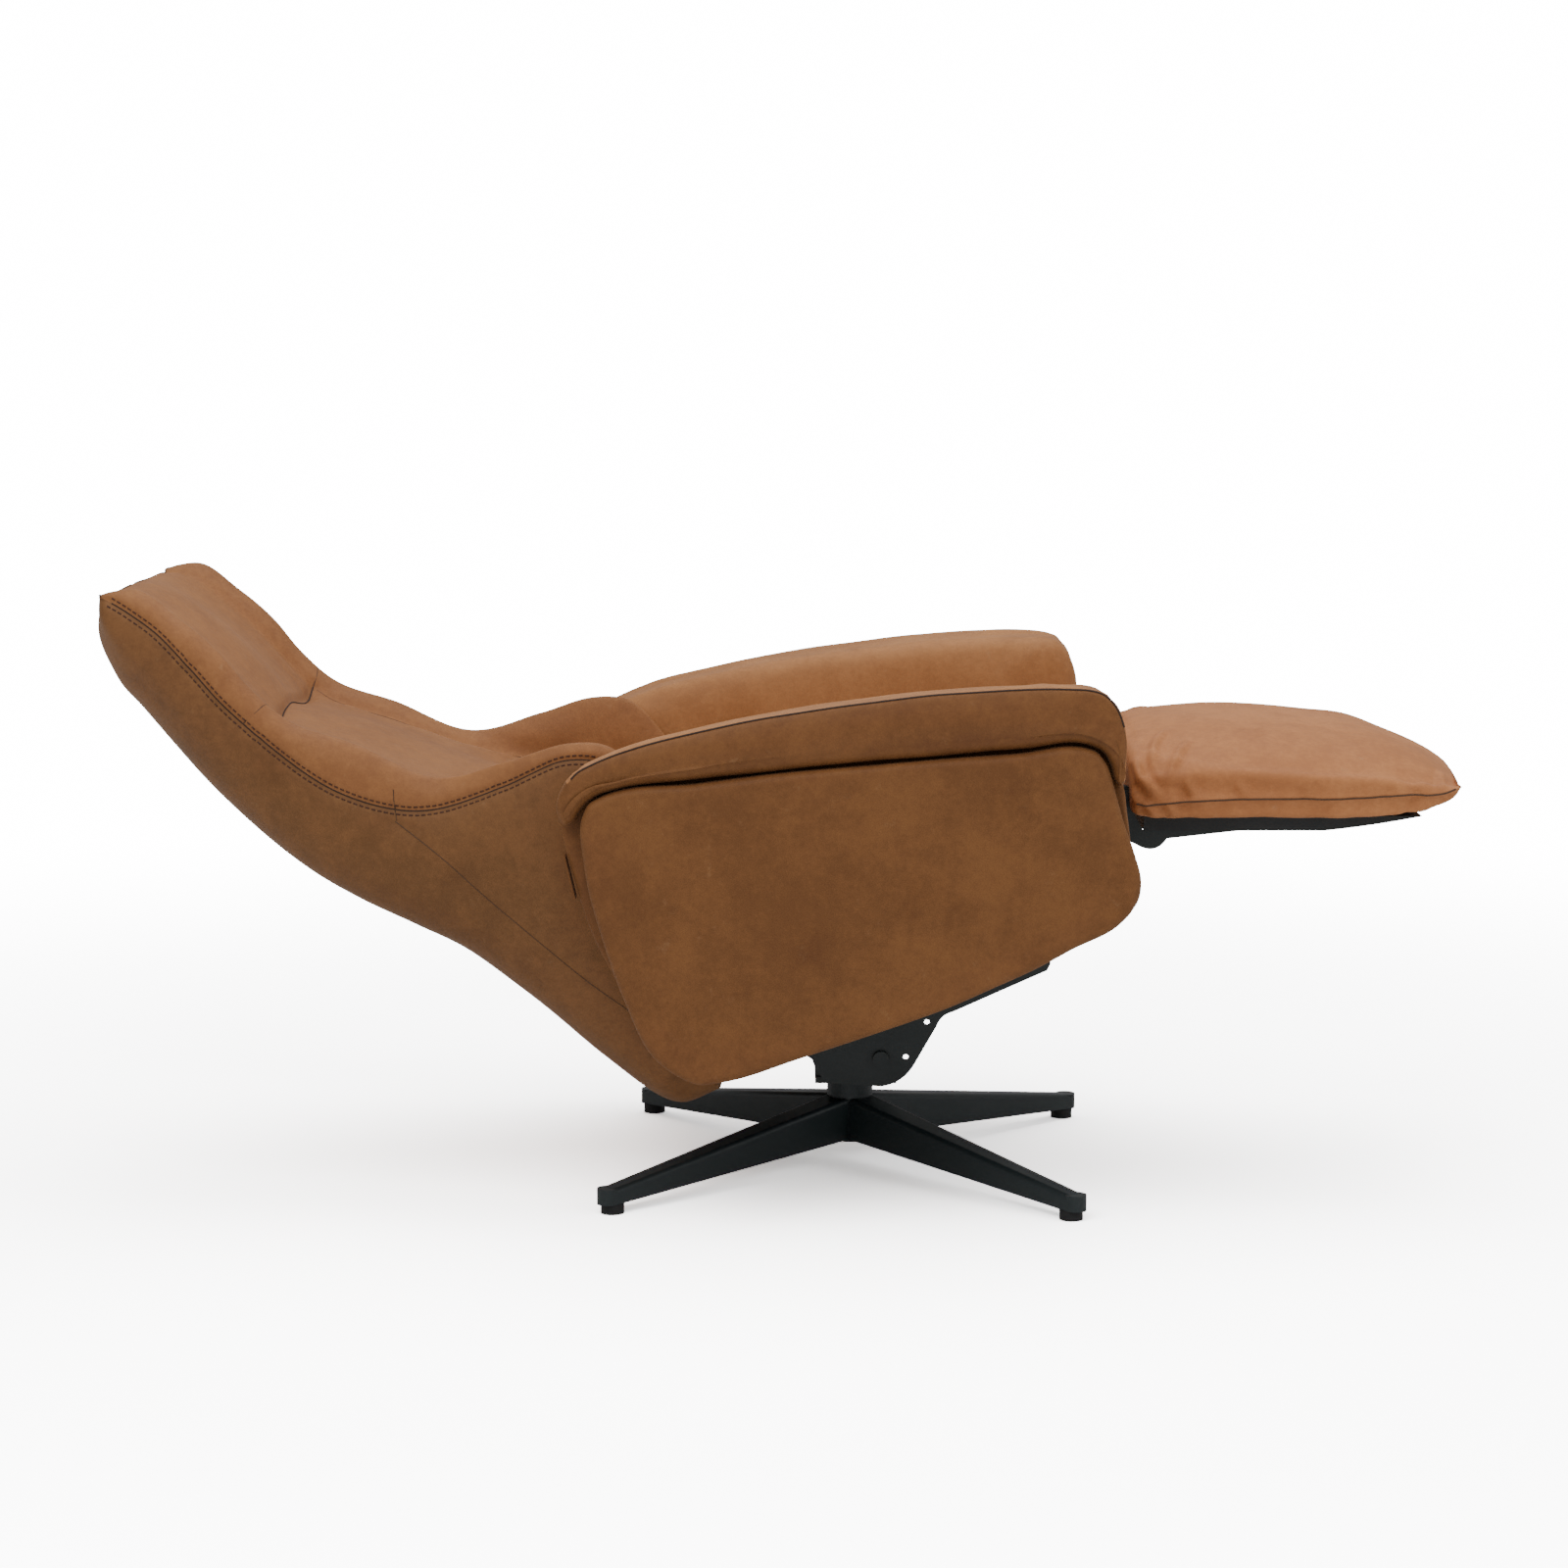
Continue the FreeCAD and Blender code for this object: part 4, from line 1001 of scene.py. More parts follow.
def spring_pocket(cover):
    """Hollow the cover's lower front where the gas spring's rod swings, and clear the seat's frame."""
    points = positions(cover)
    x, y, z = points.T
    front = x > HIDDEN_FRONT
    across = np.interp(np.abs(y), POCKET_HALF, (1, 0))
    up = np.interp(z, POCKET_HIGH, (0, 1, 1, 0))
    points[:, 0] += np.where(front, (np.minimum(x, POCKET_BACK) - x) * across * up, 0)
    reach = points[:, [0, 2]] - RECLINE_AXIS
    far = np.hypot(*reach.T)
    near_seat = (x > NEAR_SEAT_X) & (z > NEAR_SEAT_HIGH[0]) & (z < NEAR_SEAT_HIGH[1])
    shrink = np.where(near_seat, np.minimum(1, LOWER_FRONT_REACH / far), 1)
    points[:, [0, 2]] = RECLINE_AXIS + reach * shrink[:, None]
    place(cover, points)


class ARMCHAIR_OT_back(bpy.types.Operator):
    """Sew the cover of the backrest and headrest, with its seams, stitches and dark cords that paint the
    shadow in its grooves
    """
    bl_idname = "armchair.back"
    bl_label = "Back cover"

    def execute(self, context):
        grid = net(mirrored(back_lines()), BACK_ROWS, BACK_SPANS + mirror_spans(BACK_SPANS))
        count_to = [0]
        for count, _ in BACK_SPANS:
            count_to.append(count_to[-1] + count)
        seam, rear = count_to[4], count_to[7]
        cover = tube_piece("back_cover", grid, True, False, (seam, grid.shape[1] - seam))
        seam_paths = [grid[:, seam], grid[:, -seam]]
        points = positions(cover)
        held = points[:, 0] > HIDDEN_FRONT
        valleys = [grid[:, count_to[1]], grid[:, -count_to[1]]]
        fold_row = int(np.argmin(np.abs(grid[FIRST_PAST_SEAT:, 0, 0] - FOLD_X))) + FIRST_PAST_SEAT
        fold = np.concatenate((grid[fold_row, -count_to[1]:], grid[fold_row, :count_to[1] + 1]))
        for path in (*seam_paths, *valleys, fold):
            held |= distance_to_path(points, path)[0] < PIN_REACH
        held |= distance_to_path(points * FLAT, grid[:, rear] * FLAT)[0] < MIDDLE_REAR_PIN
        padding = context.scene.armchair_padding
        settle(cover, np.where(held)[0], padding.pressure, padding.most, padding.steps)
        seams = context.scene.armchair_seams
        press(cover, fold, 0.006, 0.006)
        for path in valleys:
            press(cover, path, 0.0035, 0.0055)
        for path in seam_paths:
            press(cover, path, seams.groove_deep, 0.0055)
            ripple(cover, path[FIRST_HEADREST:-8], 0.0014, 0.034, 0.022, 5)
            ripple(cover, path[FIRST_PAST_SEAT:FIRST_HEADREST], 0.0007, 0.045, 0.022, 6)
        for sign in (1, -1):
            press(cover, side_seam_on(cover, LOWER_SIDE_SEAM, sign, 90), 0.0016, 0.006)
        undulate(cover, 0.0009, 0.16, 3)
        refine(cover)
        spring_pocket(cover)
        # The sides and rear past the main seams take the darker shell leather, mostly painted shade.
        dressed(cover, seat_leather(), shell_leather())
        # Dark cords in the fold, the top seam and the sunk main seams paint the shadow in their grooves.
        shadow_cords = [smoothed(snap(cover, even(fold, 90)), 40),
                 snap(cover, even(grid[-1, -seam:-1], 40)), snap(cover, even(grid[-1, :seam], 40))]
        # Dark cords sunk into the valleys, across the fold and into the side seams paint the shade there.
        folds = [snap(cover, even(path[FIRST_VALLEY_CORD:fold_row], 150), -0.0004) for path in valleys]
        rows = []
        for path, sign in zip(seam_paths, (1, -1)):
            laid = snap(cover, even(path[FIRST_STITCHED:-4], 260))
            shadow_cords.append(snap(cover, laid, -0.0004))
            across = grid[fold_row, count_to[1]:seam + 1] * (1, sign, 1)
            folds.append(smoothed(snap(cover, even(across, 30)), 4))
            for offset in (seams.stitch_side, -seams.stitch_side):
                rows.append(beside(cover, laid, offset, 0.0001))
            folds.append(side_seam_on(cover, LOWER_SIDE_SEAM, sign, 90, -0.0002))
            folds.append(side_seam_on(cover, SHORT_SIDE_SEAM, sign, 16, -0.0002))
        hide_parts("back_cushion", "back_shell", "back_gusset_right", "back_gusset_left",
                    "side_wing_right", "side_wing_left", "headrest_cushion", "headrest_sides",
                    "headrest_shell")
        cord = piping("back_seam_shadows", shadow_cords, seam_shadow(), 0.0010)
        fold_shadow_cord = piping("back_fold_and_seam_shadows", folds, fold_shadow_line(), 0.0007)
        sewn = stitches("back_stitches", rows)
        for piece in (cover, cord, fold_shadow_cord, sewn):
            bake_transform(piece)
        return {"FINISHED"}


# ------------------------------------------------------------------ seat

SEAT_TOP = [(-160, 420), (-166, 452), (-150, 466), (-110, 470), (-60, 484), (30, 507), (120, 527),
            (200, 544), (262, 555), (292, 556)]
SEAT_FRONT = [(311, 549), (319, 536), (316, 520)]
SEAT_UNDER = [(304, 511), (262, 509), (246, 500), (200, 455), (60, 405), (-60, 372), (-130, 352)]
SEAT_REAR = [(-150, 350), (-160, 362), (-161, 395)]
SEAT_COUNTS = (66, 8)


class ARMCHAIR_OT_seat(bpy.types.Operator):
    """Fill the seat cushion and the panel under its front lip"""
    bl_idname = "armchair.seat"
    bl_label = "Seat"

    def execute(self, context):
        padding = context.scene.armchair_padding
        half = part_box("seat_cushion")[1][1] / MM
        loop = sided_loop([SEAT_TOP, SEAT_FRONT, SEAT_UNDER, SEAT_REAR], SEAT_COUNTS)
        rows = rounded_rows(loop, -half, half, 20, 20, 44)
        grid = side_rows(rows)
        narrow = np.interp(grid[..., 0], (-0.165, -0.125), (246 / half, 1.0))
        grid[..., 1] *= narrow
        cushion = looped_piece("seat_cushion_pad", grid, SEAT_COUNTS, (0.004, 0.004))
        points = positions(cushion)
        low = points[:, 2] < np.interp(points[:, 0], (-0.15, 0.06, 0.2, 0.26), (0.40, 0.44, 0.48, 0.512))
        settle(cushion, np.where(low | (points[:, 0] < -0.14))[0], padding.pressure, padding.most * 0.7,
               padding.steps)
        welts = []
        for sign in (-1, 1):
            edge = snap(cushion, [(x * MM, sign * (half - 3) * MM, (z - 7) * MM) for x, z in
                                  even(SEAT_TOP[3:], 90)])
            press(cushion, edge, 0.002, 0.004)
            welts.append(edge)
        across = snap(cushion, [(0.300, y, 0.556) for y in np.linspace(-half + 14, half - 14, 70) * MM])
        press(cushion, across, 0.0025, 0.005)
        undulate(cushion, 0.0010, 0.14, 11)
        refine(cushion)
        dressed(cushion, seat_leather())
        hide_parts("seat_cushion")
        # A dark cord in the seat's seam grooves paints their shadow.
        cord = piping("seat_seam_shadows", [snap(cushion, path, -0.0003) for path in (*welts, across)],
                      seam_shadow(), 0.0010)
        rows = [beside(cushion, across, offset, 0.0003) for offset in (0.007, -0.007)]
        sewn = stitches("seat_stitches", rows)

        low_corner, high_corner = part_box("seat_front_board")
        x0, x1, z0, z1 = (value / MM for value in (low_corner[0], high_corner[0], low_corner[2],
                                                   high_corner[2]))
        round_by = 3.5
        front = [[(x0 + round_by, z1 - 0.5), (x1 - round_by, z1 - 0.5)], [(x1, z1 - 4), (x1, z0 + 4)],
                 [(x1 - round_by, z0), (x0 + round_by, z0)], [(x0, z0 + 4), (x0, z1 - 4)]]
        loop = sided_loop(front, (4, 20))
        grid = side_rows(rounded_rows(loop, low_corner[1] / MM, high_corner[1] / MM, 4, 4, 60))
        swell = 0.003 * np.clip((0.176 - np.abs(grid[..., 1])) / 0.030, 0, 1)
        grid[..., 0] += swell * (grid[..., 0] > (x0 + x1) / 2 * MM)
        panel = looped_piece("seat_front_panel", grid, (4, 20))
        refine(panel)
        dressed(panel, arm_leather())
        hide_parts("seat_front_board")
        for piece in (cushion, cord, sewn, panel):
            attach(piece, "chassis")
        return {"FINISHED"}


# ------------------------------------------------------------------ arms

ARM_TOP = [(-332, 533), (-321, 546), (-305, 555), (-283, 565), (-251, 576), (-196, 590), (-128, 605),
           (-62, 617), (20, 628), (100, 637), (180, 642), (240, 643), (268, 641)]
ARM_NOSE = [(281, 637), (295, 624), (305, 603), (309, 585), (309, 562), (307, 545)]
ARM_FRONT = [(306, 530), (309, 490), (317, 450), (320, 415), (312, 385)]
ARM_UNDER = [(300, 371), (245, 340), (110, 277), (-53, 221), (-165, 188), (-190, 188), (-229, 210),
             (-265, 277), (-301, 346), (-325, 420)]
ARM_BACK = [(-335, 455), (-341, 480), (-341, 512)]
ROLL_FRONT = [(306, 533), (301, 527), (295, 532)]
ROLL_UNDER = [(289, 551), (280, 566.5), (262, 574.5), (195, 570), (60, 559.5), (-62, 548.5),
              (-184, 534.5), (-270, 524), (-300, 514.5), (-314, 502)]
ROLL_BACK = [(-322, 488), (-334, 482), (-342, 495), (-341, 515)]
ARM_COUNTS = (104, 14)
PANEL_TOP = [(-306, 509), (-288, 518), (-184, 531), (-62, 545), (60, 556), (181, 565), (261, 571)]
PANEL_FRONT = [(273, 567), (282, 556), (295, 519), (304, 488), (317, 451), (325, 420), (323, 399)]
PANEL_UNDER = [(312, 380), (300, 368), (245, 339), (217, 324), (110, 274), (-53, 217), (-154, 185)]
PANEL_BACK = [(-180, 181), (-202, 190), (-229, 210), (-265, 280), (-289, 345), (-311, 439), (-313, 495)]
PANEL_COUNTS = (80, 36)


def arm_pad(side, sign, padding):
    """One arm: the padded body with the roll that stands over the panel."""
    whole = sided_loop([ARM_TOP + ARM_NOSE, ARM_FRONT, ARM_UNDER, ARM_BACK], ARM_COUNTS)
    roll = sided_loop([ARM_TOP + ARM_NOSE, ROLL_FRONT, ROLL_UNDER, ROLL_BACK], ARM_COUNTS)
    rows = rounded_rows(whole, 284, 351.5, 22, 0.01, 8)[:-5]
    first_roll = len(rows)
    top = ARM_COUNTS[0]
    column = np.arange(len(whole))
    into_under = np.minimum(column - top, len(whole) - column) / 8
    more = 1 + 1.4 * np.clip(into_under, 0, 1)
    for y, step in ((352.6, 0.8), (356, 0.2), (362, 0), (368, 0), (373, 0.2), (377, 0.6), (380, 1.1),
                    (382.4, 1.8), (384, 2.6), (385.6, 4.0), (387.0, 6.3)):
        rows.append((inset(roll, step * more), y))
    # Every face but the top, and the roll's outer side past the piping, takes the darker panel leather:
    # painted shade on faces turned away from the light.
    second = np.zeros((len(rows) - 1, len(whole)), bool)
    second[:, top:] = True
    piping_row = len(rows) - 3
    second[piping_row:] = True
    grid = side_rows(rows, sign)
    arm = looped_piece(f"arm_pad_{side}", grid, ARM_COUNTS, (0.002, 0.0040), second)
    points = positions(arm)
    piping_path = grid[piping_row, 1:top - 8]
    held = distance_to_path(points, piping_path)[0] < PIN_REACH
    for row in range(first_roll - 1, len(rows) - 4, 2):
        held |= distance_to_path(points, grid[row, top:])[0] < 0.004
    held |= points[:, 2] < np.interp(points[:, 0], (-0.2, 0.3), (0.25, 0.42))
    settle(arm, np.where(held)[0], padding.pressure, padding.most * 0.4, padding.steps)
    press(arm, piping_path, 0.0016, 0.0032)
    undulate(arm, 0.0007, 0.13, 21)
    refine(arm)
    # The second material is the darker panel leather, painted shade on the arm's outer faces.
    dressed(arm, arm_leather(), panel_shade_leather())
    # A dark cord along the real piping paints the shadow of its seam.
    line = snap(arm, even(piping_path, 240), 0.0002)
    cord = piping(f"arm_piping_{side}", [line], seam_shadow(), 0.0013)
    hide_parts(f"arm_body_{side}")
    return arm, cord


def side_panel(side, sign):
    """One leather side panel, rounded over at its edge."""
    loop = sided_loop([PANEL_TOP, PANEL_FRONT, PANEL_UNDER, PANEL_BACK], PANEL_COUNTS)
    rows = rounded_rows(loop, 362.4, 391, 3, 9, 4)
    panel = looped_piece(f"panel_pad_{side}", side_rows(rows, sign), PANEL_COUNTS, (0.0, 0.0022))
    undulate(panel, 0.0005, 0.12, 31)
    refine(panel)
    # The side panel takes the darker leather as painted shade.
    dressed(panel, panel_shade_leather())
    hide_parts(f"side_panel_{side}")
    return panel


class ARMCHAIR_OT_arms(bpy.types.Operator):
    """Pad the arms and their side panels, with the piping along the roll; darker leather paints the shade on
    the panels and the arms' outer faces
    """
    bl_idname = "armchair.arms"
    bl_label = "Arms"

    def execute(self, context):
        for side, sign in SIDES:
            pieces = [*arm_pad(side, sign, context.scene.armchair_padding), side_panel(side, sign)]
            for piece in pieces:
                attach(piece, "chassis")
        return {"FINISHED"}


# ------------------------------------------------------------------ footrest

FOOT_STATIONS = (327.5, 328.5, 332, 340, 356, 400, 440, 505, 575, 620, 650, 680, 698, 708, 712, 713)
FOOT_TOP = (546, 556, 566, 572, 577, 583, 586, 584, 577, 569, 557, 543, 531, 523, 517, 508.5)
FOOT_SEAM = (498, 492, 488, 487, 488, 492, 494, 495, 495, 497, 499, 499, 502, 506, 508, 508.5)
FOOT_BAND = (486, 478, 473, 471, 470, 471, 472, 472, 471, 472, 474, 479, 486, 492, 499, 508.5)
FOOT_HALF = (228, 234, 238, 240, 241, 241, 241, 241, 241, 241, 241, 240, 239, 238, 236, 234)
FOOT_CREASES = (
    (((346, 500), (338, 516), (334, 538)), 6.5), (((357, 498), (347, 509), (340, 520)), 6.0),
    (((349, 532), (362, 553), (380, 564)), 4.5), (((368, 518), (382, 540), (402, 556)), 3.6),
    (((402, 497), (395, 507), (390, 517)), 4.5), (((463, 498), (456, 506), (450, 514)), 4.0),
    (((342, 489), (350, 480), (356, 474)), 4.0), (((368, 489), (374, 481), (379, 474)), 3.4),
    (((540, 499), (534, 506), (531, 513)), 2.6), (((690, 505), (698, 512), (702, 519)), 3.6))
FOOT_COUNTS = (72, 6)
FOOT_BOW = 26.0
FOOT_BOW_START = 400
FOOT_CREASE_WIDE = 0.0048
FOOT_PINNED = (0.330, 0.476)


class ARMCHAIR_OT_footrest(bpy.types.Operator):
    """Fill the footrest pad, gathered along its side seams"""
    bl_idname = "armchair.footrest"
    bl_label = "Footrest"

    def execute(self, context):
        padding = context.scene.armchair_padding
        stations = np.concatenate((FOOT_STATIONS[:4], np.linspace(342, 698, 62), FOOT_STATIONS[13:]))
        table = [np.interp(stations, FOOT_STATIONS, values) if kind else
                 through(np.array(values, float)[:, None], np.array(FOOT_STATIONS), stations)[:, 0]
                 for values, kind in ((FOOT_TOP, 0), (FOOT_SEAM, 0), (FOOT_BAND, 0), (FOOT_HALF, 1))]
        grid = []
        long, short = FOOT_COUNTS
        bow_run, widest = FOOT_STATIONS[-1] - FOOT_BOW_START, max(FOOT_HALF)
        turn = np.linspace(-math.pi / 2, math.pi / 2, 400)
        for x, top, seam, band, half in zip(stations, *table):
            over = np.column_stack((half * np.sign(np.sin(turn)) * np.abs(np.sin(turn)) ** 0.80,
                                    seam + (top - seam) * np.maximum(np.cos(turn), 0) ** 0.90))
            over[0], over[-1] = (-half, seam), (half, seam)
            under = [(half - 5, band + 0.4), (half - 16, band), (0, band - 1), (16 - half, band),
                     (5 - half, band + 0.4)]
            drop = [(half - 1.5, seam - 0.25 * (seam - band)), (half - 2.5, seam - 0.75 * (seam - band))]
            rise = [(-y, z) for y, z in drop[::-1]]
            fine = even(over, long + 1)
            loop = np.concatenate((fine[:-1], even([over[-1], *drop, under[0]], short + 1)[:-1],
                                   even(under, long + 1)[:-1],
                                   even([under[-1], *rise, over[0]], short + 1)[:-1]))
            forward = np.clip((x - FOOT_BOW_START) / bow_run, 0, 1) ** 2
            bow = FOOT_BOW * forward * (1 - (loop[:, 0] / widest) ** 2)
            grid.append(np.column_stack((x + bow, loop)))
        grid = np.array(grid) * MM
        pad = looped_piece("footrest_pad_cover", grid, FOOT_COUNTS, (0.001, None))
        points = positions(pad)
        seams = [grid[:, 0], grid[:, long]]
        held = (points[:, 0] < FOOT_PINNED[0]) | (points[:, 2] < FOOT_PINNED[1])
        for path in seams:
            held |= distance_to_path(points, path)[0] < PIN_REACH
        settle(pad, np.where(held)[0], padding.pressure, padding.most * 0.6, padding.steps)
        for path in seams:
            press(pad, path, 0.0022, 0.0045)
        undulate(pad, 0.0010, 0.11, 47)
        refine(pad)
        for number, (path, sign) in enumerate(zip(seams, (-1, 1))):
            ripple(pad, path[4:], 0.0034, 0.036, 0.022, 41 + number)
            ripple(pad, path[-16:], 0.0030, 0.024, 0.026, 45 + number)
            for outline, deep in FOOT_CREASES:
                crease(pad, side_seam_on(pad, outline, sign, 14), deep * MM, FOOT_CREASE_WIDE)
        dressed(pad, footrest_leather())
        # A dark cord along the footrest's piping and nose is the piping's own line, darkened as painted
        # shade.
        lines = [snap(pad, even(path[2:-2], 200), -0.0002) for path in seams]
        nose = snap(pad, even(grid[-1, :long + 1], 160), 0.0001)
        cord = piping("footrest_piping_shadows", [*lines, nose], fold_shadow_line(), 0.0011)
        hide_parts("footrest_pad")
        for piece in (pad, cord):
            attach(piece, "footrest")
        return {"FINISHED"}


# ------------------------------------------------------------------ frame finishes

FINISHES = {
    "base_black": ((0.015, 0.023, 0.025), 700.0, 0.40, 0.0, 0.25),
    "plate_black": ((0.012, 0.018, 0.018), 800.0, 0.44, 0.0, 0.25),
    "glide_plastic": ((0.012, 0.012, 0.013), 1500.0, 0.62, 0.0, 0.35),
    "buffer_rubber": ((0.012, 0.012, 0.012), 1900.0, 0.80, 0.0, 0.45),
    "tray_black": ((0.016, 0.018, 0.019), 1300.0, 0.55, 0.0, 0.45),
}


def brushed_metal(name, tone, rough):
    """Turned or plated steel with fine lines round its length."""
    group, given, out = socket_group(
        f"{name}_turning", [("Tone", "NodeSocketColor", (*tone, 1)), ("Gloss", "NodeSocketFloat", rough)])
    where = group.nodes.new("ShaderNodeTexCoord").outputs["Object"]
    stretch = group.nodes.new("ShaderNodeMapping")
    stretch.inputs["Scale"].default_value = (1400, 60, 1400)
    group.links.new(where, stretch.inputs["Vector"])
    lines = noise(group, stretch.outputs["Vector"], 1.0, 3.0, 0.6)
    patina = noise(group, where, 60.0, 4.0, 0.6)
    colour = blended(group, "MULTIPLY", maths(group, "MULTIPLY", patina.outputs["Fac"], 0.4),
                     given.outputs["Tone"], (0.62, 0.60, 0.58, 1))
    group.links.new(colour, out.inputs["Color"])
    group.links.new(maths(group, "ADD", given.outputs["Gloss"],
                          maths(group, "MULTIPLY", lines.outputs["Fac"], 0.18)), out.inputs["Roughness"])
    group.links.new(lines.outputs["Fac"], out.inputs["Height"])
    return surfaced(name, group, {}, 0.15, 0.0002, 1.0)


def plywood():
    """Layered birch: pale plies seen on the edges, with darker glue lines."""
    group, given, out = socket_group("birch_plies", [("Ply", "NodeSocketFloat", 0.0014)])
    where = group.nodes.new("ShaderNodeTexCoord").outputs["Object"]
    parts = group.nodes.new("ShaderNodeSeparateXYZ")
    group.links.new(where, parts.inputs[0])
    layer = maths(group, "PINGPONG", parts.outputs["Y"], given.outputs["Ply"])
    line = ramp(group, maths(group, "DIVIDE", layer, given.outputs["Ply"]), 0.0, 0.25)
    stretch = group.nodes.new("ShaderNodeMapping")
    stretch.inputs["Scale"].default_value = (14, 120, 120)
    group.links.new(where, stretch.inputs["Vector"])
    grain = noise(group, stretch.outputs["Vector"], 1.0, 5.0, 0.6)
    wood = blended(group, "MIX", grain.outputs["Fac"], (0.34, 0.21, 0.115, 1), (0.52, 0.36, 0.22, 1))
    group.links.new(blended(group, "MIX", line, (0.13, 0.075, 0.04, 1), wood), out.inputs["Color"])
    group.links.new(maths(group, "ADD", maths(group, "MULTIPLY", grain.outputs["Fac"], 0.2), 0.55),
                    out.inputs["Roughness"])
    group.links.new(grain.outputs["Fac"], out.inputs["Height"])
    return surfaced("plywood", group, {}, 0.2, 0.0004)


def woven(name, tone, pitch):
    """Plain woven cloth or webbing: threads over and under at an even pitch, with the colour darkened between
    the threads as painted shade.
    """
    if "plain_weave" in bpy.data.node_groups:
        group = bpy.data.node_groups["plain_weave"]
    else:
        group, given, out = socket_group(
            "plain_weave", [("Tone", "NodeSocketColor", (0.05, 0.05, 0.05, 1)),
                            ("Pitch", "NodeSocketFloat", 0.002)])
        where = group.nodes.new("ShaderNodeTexCoord").outputs["Object"]
        parts = group.nodes.new("ShaderNodeSeparateXYZ")
        group.links.new(where, parts.inputs[0])
        turns = []
        for axis in ("X", "Y"):
            turn = maths(group, "MULTIPLY", parts.outputs[axis], math.pi)
            turns.append(maths(group, "ABSOLUTE", maths(group, "SINE", maths(
                group, "DIVIDE", turn, given.outputs["Pitch"]), 0.0), 0.0))
        height = maths(group, "MAXIMUM", turns[0], turns[1])
        fuzz = noise(group, where, 900.0, 3.0, 0.6)
        # Painted shade: the colour is darkened where the weave is low, between the threads.
        shade = maths(group, "MULTIPLY", maths(group, "SUBTRACT", 1.0, height), 0.7)
        gap_shaded = blended(group, "MULTIPLY", shade, given.outputs["Tone"], (0.3, 0.3, 0.3, 1))
        group.links.new(blended(group, "ADD", maths(group, "MULTIPLY", fuzz.outputs["Fac"], 0.03), gap_shaded,
                                (0.5, 0.5, 0.5, 1)), out.inputs["Color"])
        group.links.new(maths(group, "ADD", maths(group, "MULTIPLY", fuzz.outputs["Fac"], 0.15), 0.75),
                        out.inputs["Roughness"])
        group.links.new(height, out.inputs["Height"])
    return surfaced(name, group, {"Tone": (*tone, 1), "Pitch": pitch}, 0.5, 0.0005)


class ARMCHAIR_OT_frame(bpy.types.Operator):
    """Give the metal, wood, webbing and plastic parts their finishes"""
    bl_idname = "armchair.frame"
    bl_label = "Frame finishes"

    def execute(self, context):
        made = {name: surfaced(name, speck_group(), {"Tone": (*tone, 1), "Peel": peel, "Gloss": gloss},
                               bump, 0.0003, metallic)
                for name, (tone, peel, gloss, metallic, bump) in FINISHES.items()}
        made["turned_steel"] = brushed_metal("turned_steel", (0.60, 0.60, 0.61), 0.22)
        made["bolt_steel"] = brushed_metal("bolt_steel", (0.32, 0.33, 0.34), 0.34)
        made["plywood"] = plywood()
        made["webbing"] = woven("webbing", (0.05, 0.045, 0.04), 0.0022)
        made["cover_cloth"] = woven("cover_cloth", (0.022, 0.022, 0.022), 0.0012)
        made["seat_leather"] = seat_leather()
        made["arm_leather"] = arm_leather()
        # The frame's shell slot gets the darker shell leather, mostly painted shade.
        made["shell_leather"] = shell_leather()
        for row in frame["record"]["subparts"]:
            dressed(frame["nodes"][row["node"]], made[row["material_slot"]])
        # The tag reuses the panels' darker leather, which paints shade there, for its own brown-red colour.
        dressed(frame["nodes"]["arm_tag"], panel_shade_leather())
        return {"FINISHED"}


# ------------------------------------------------------------------ stage


CAMERA_PLACE = (-0.08285, -4.3653, 1.0519)
CAMERA_DOWN = 0.130


def seen_instead(tree, lighting, seen, output):
    """Light the scene with one shader while the camera sees another."""
    ray = tree.nodes.new("ShaderNodeLightPath")
    mix = tree.nodes.new("ShaderNodeMixShader")
    tree.links.new(ray.outputs["Is Camera Ray"], mix.inputs[0])
    tree.links.new(lighting.outputs[0], mix.inputs[1])
    tree.links.new(seen.outputs[0], mix.inputs[2])
    tree.links.new(mix.outputs[0], output.inputs["Surface"])


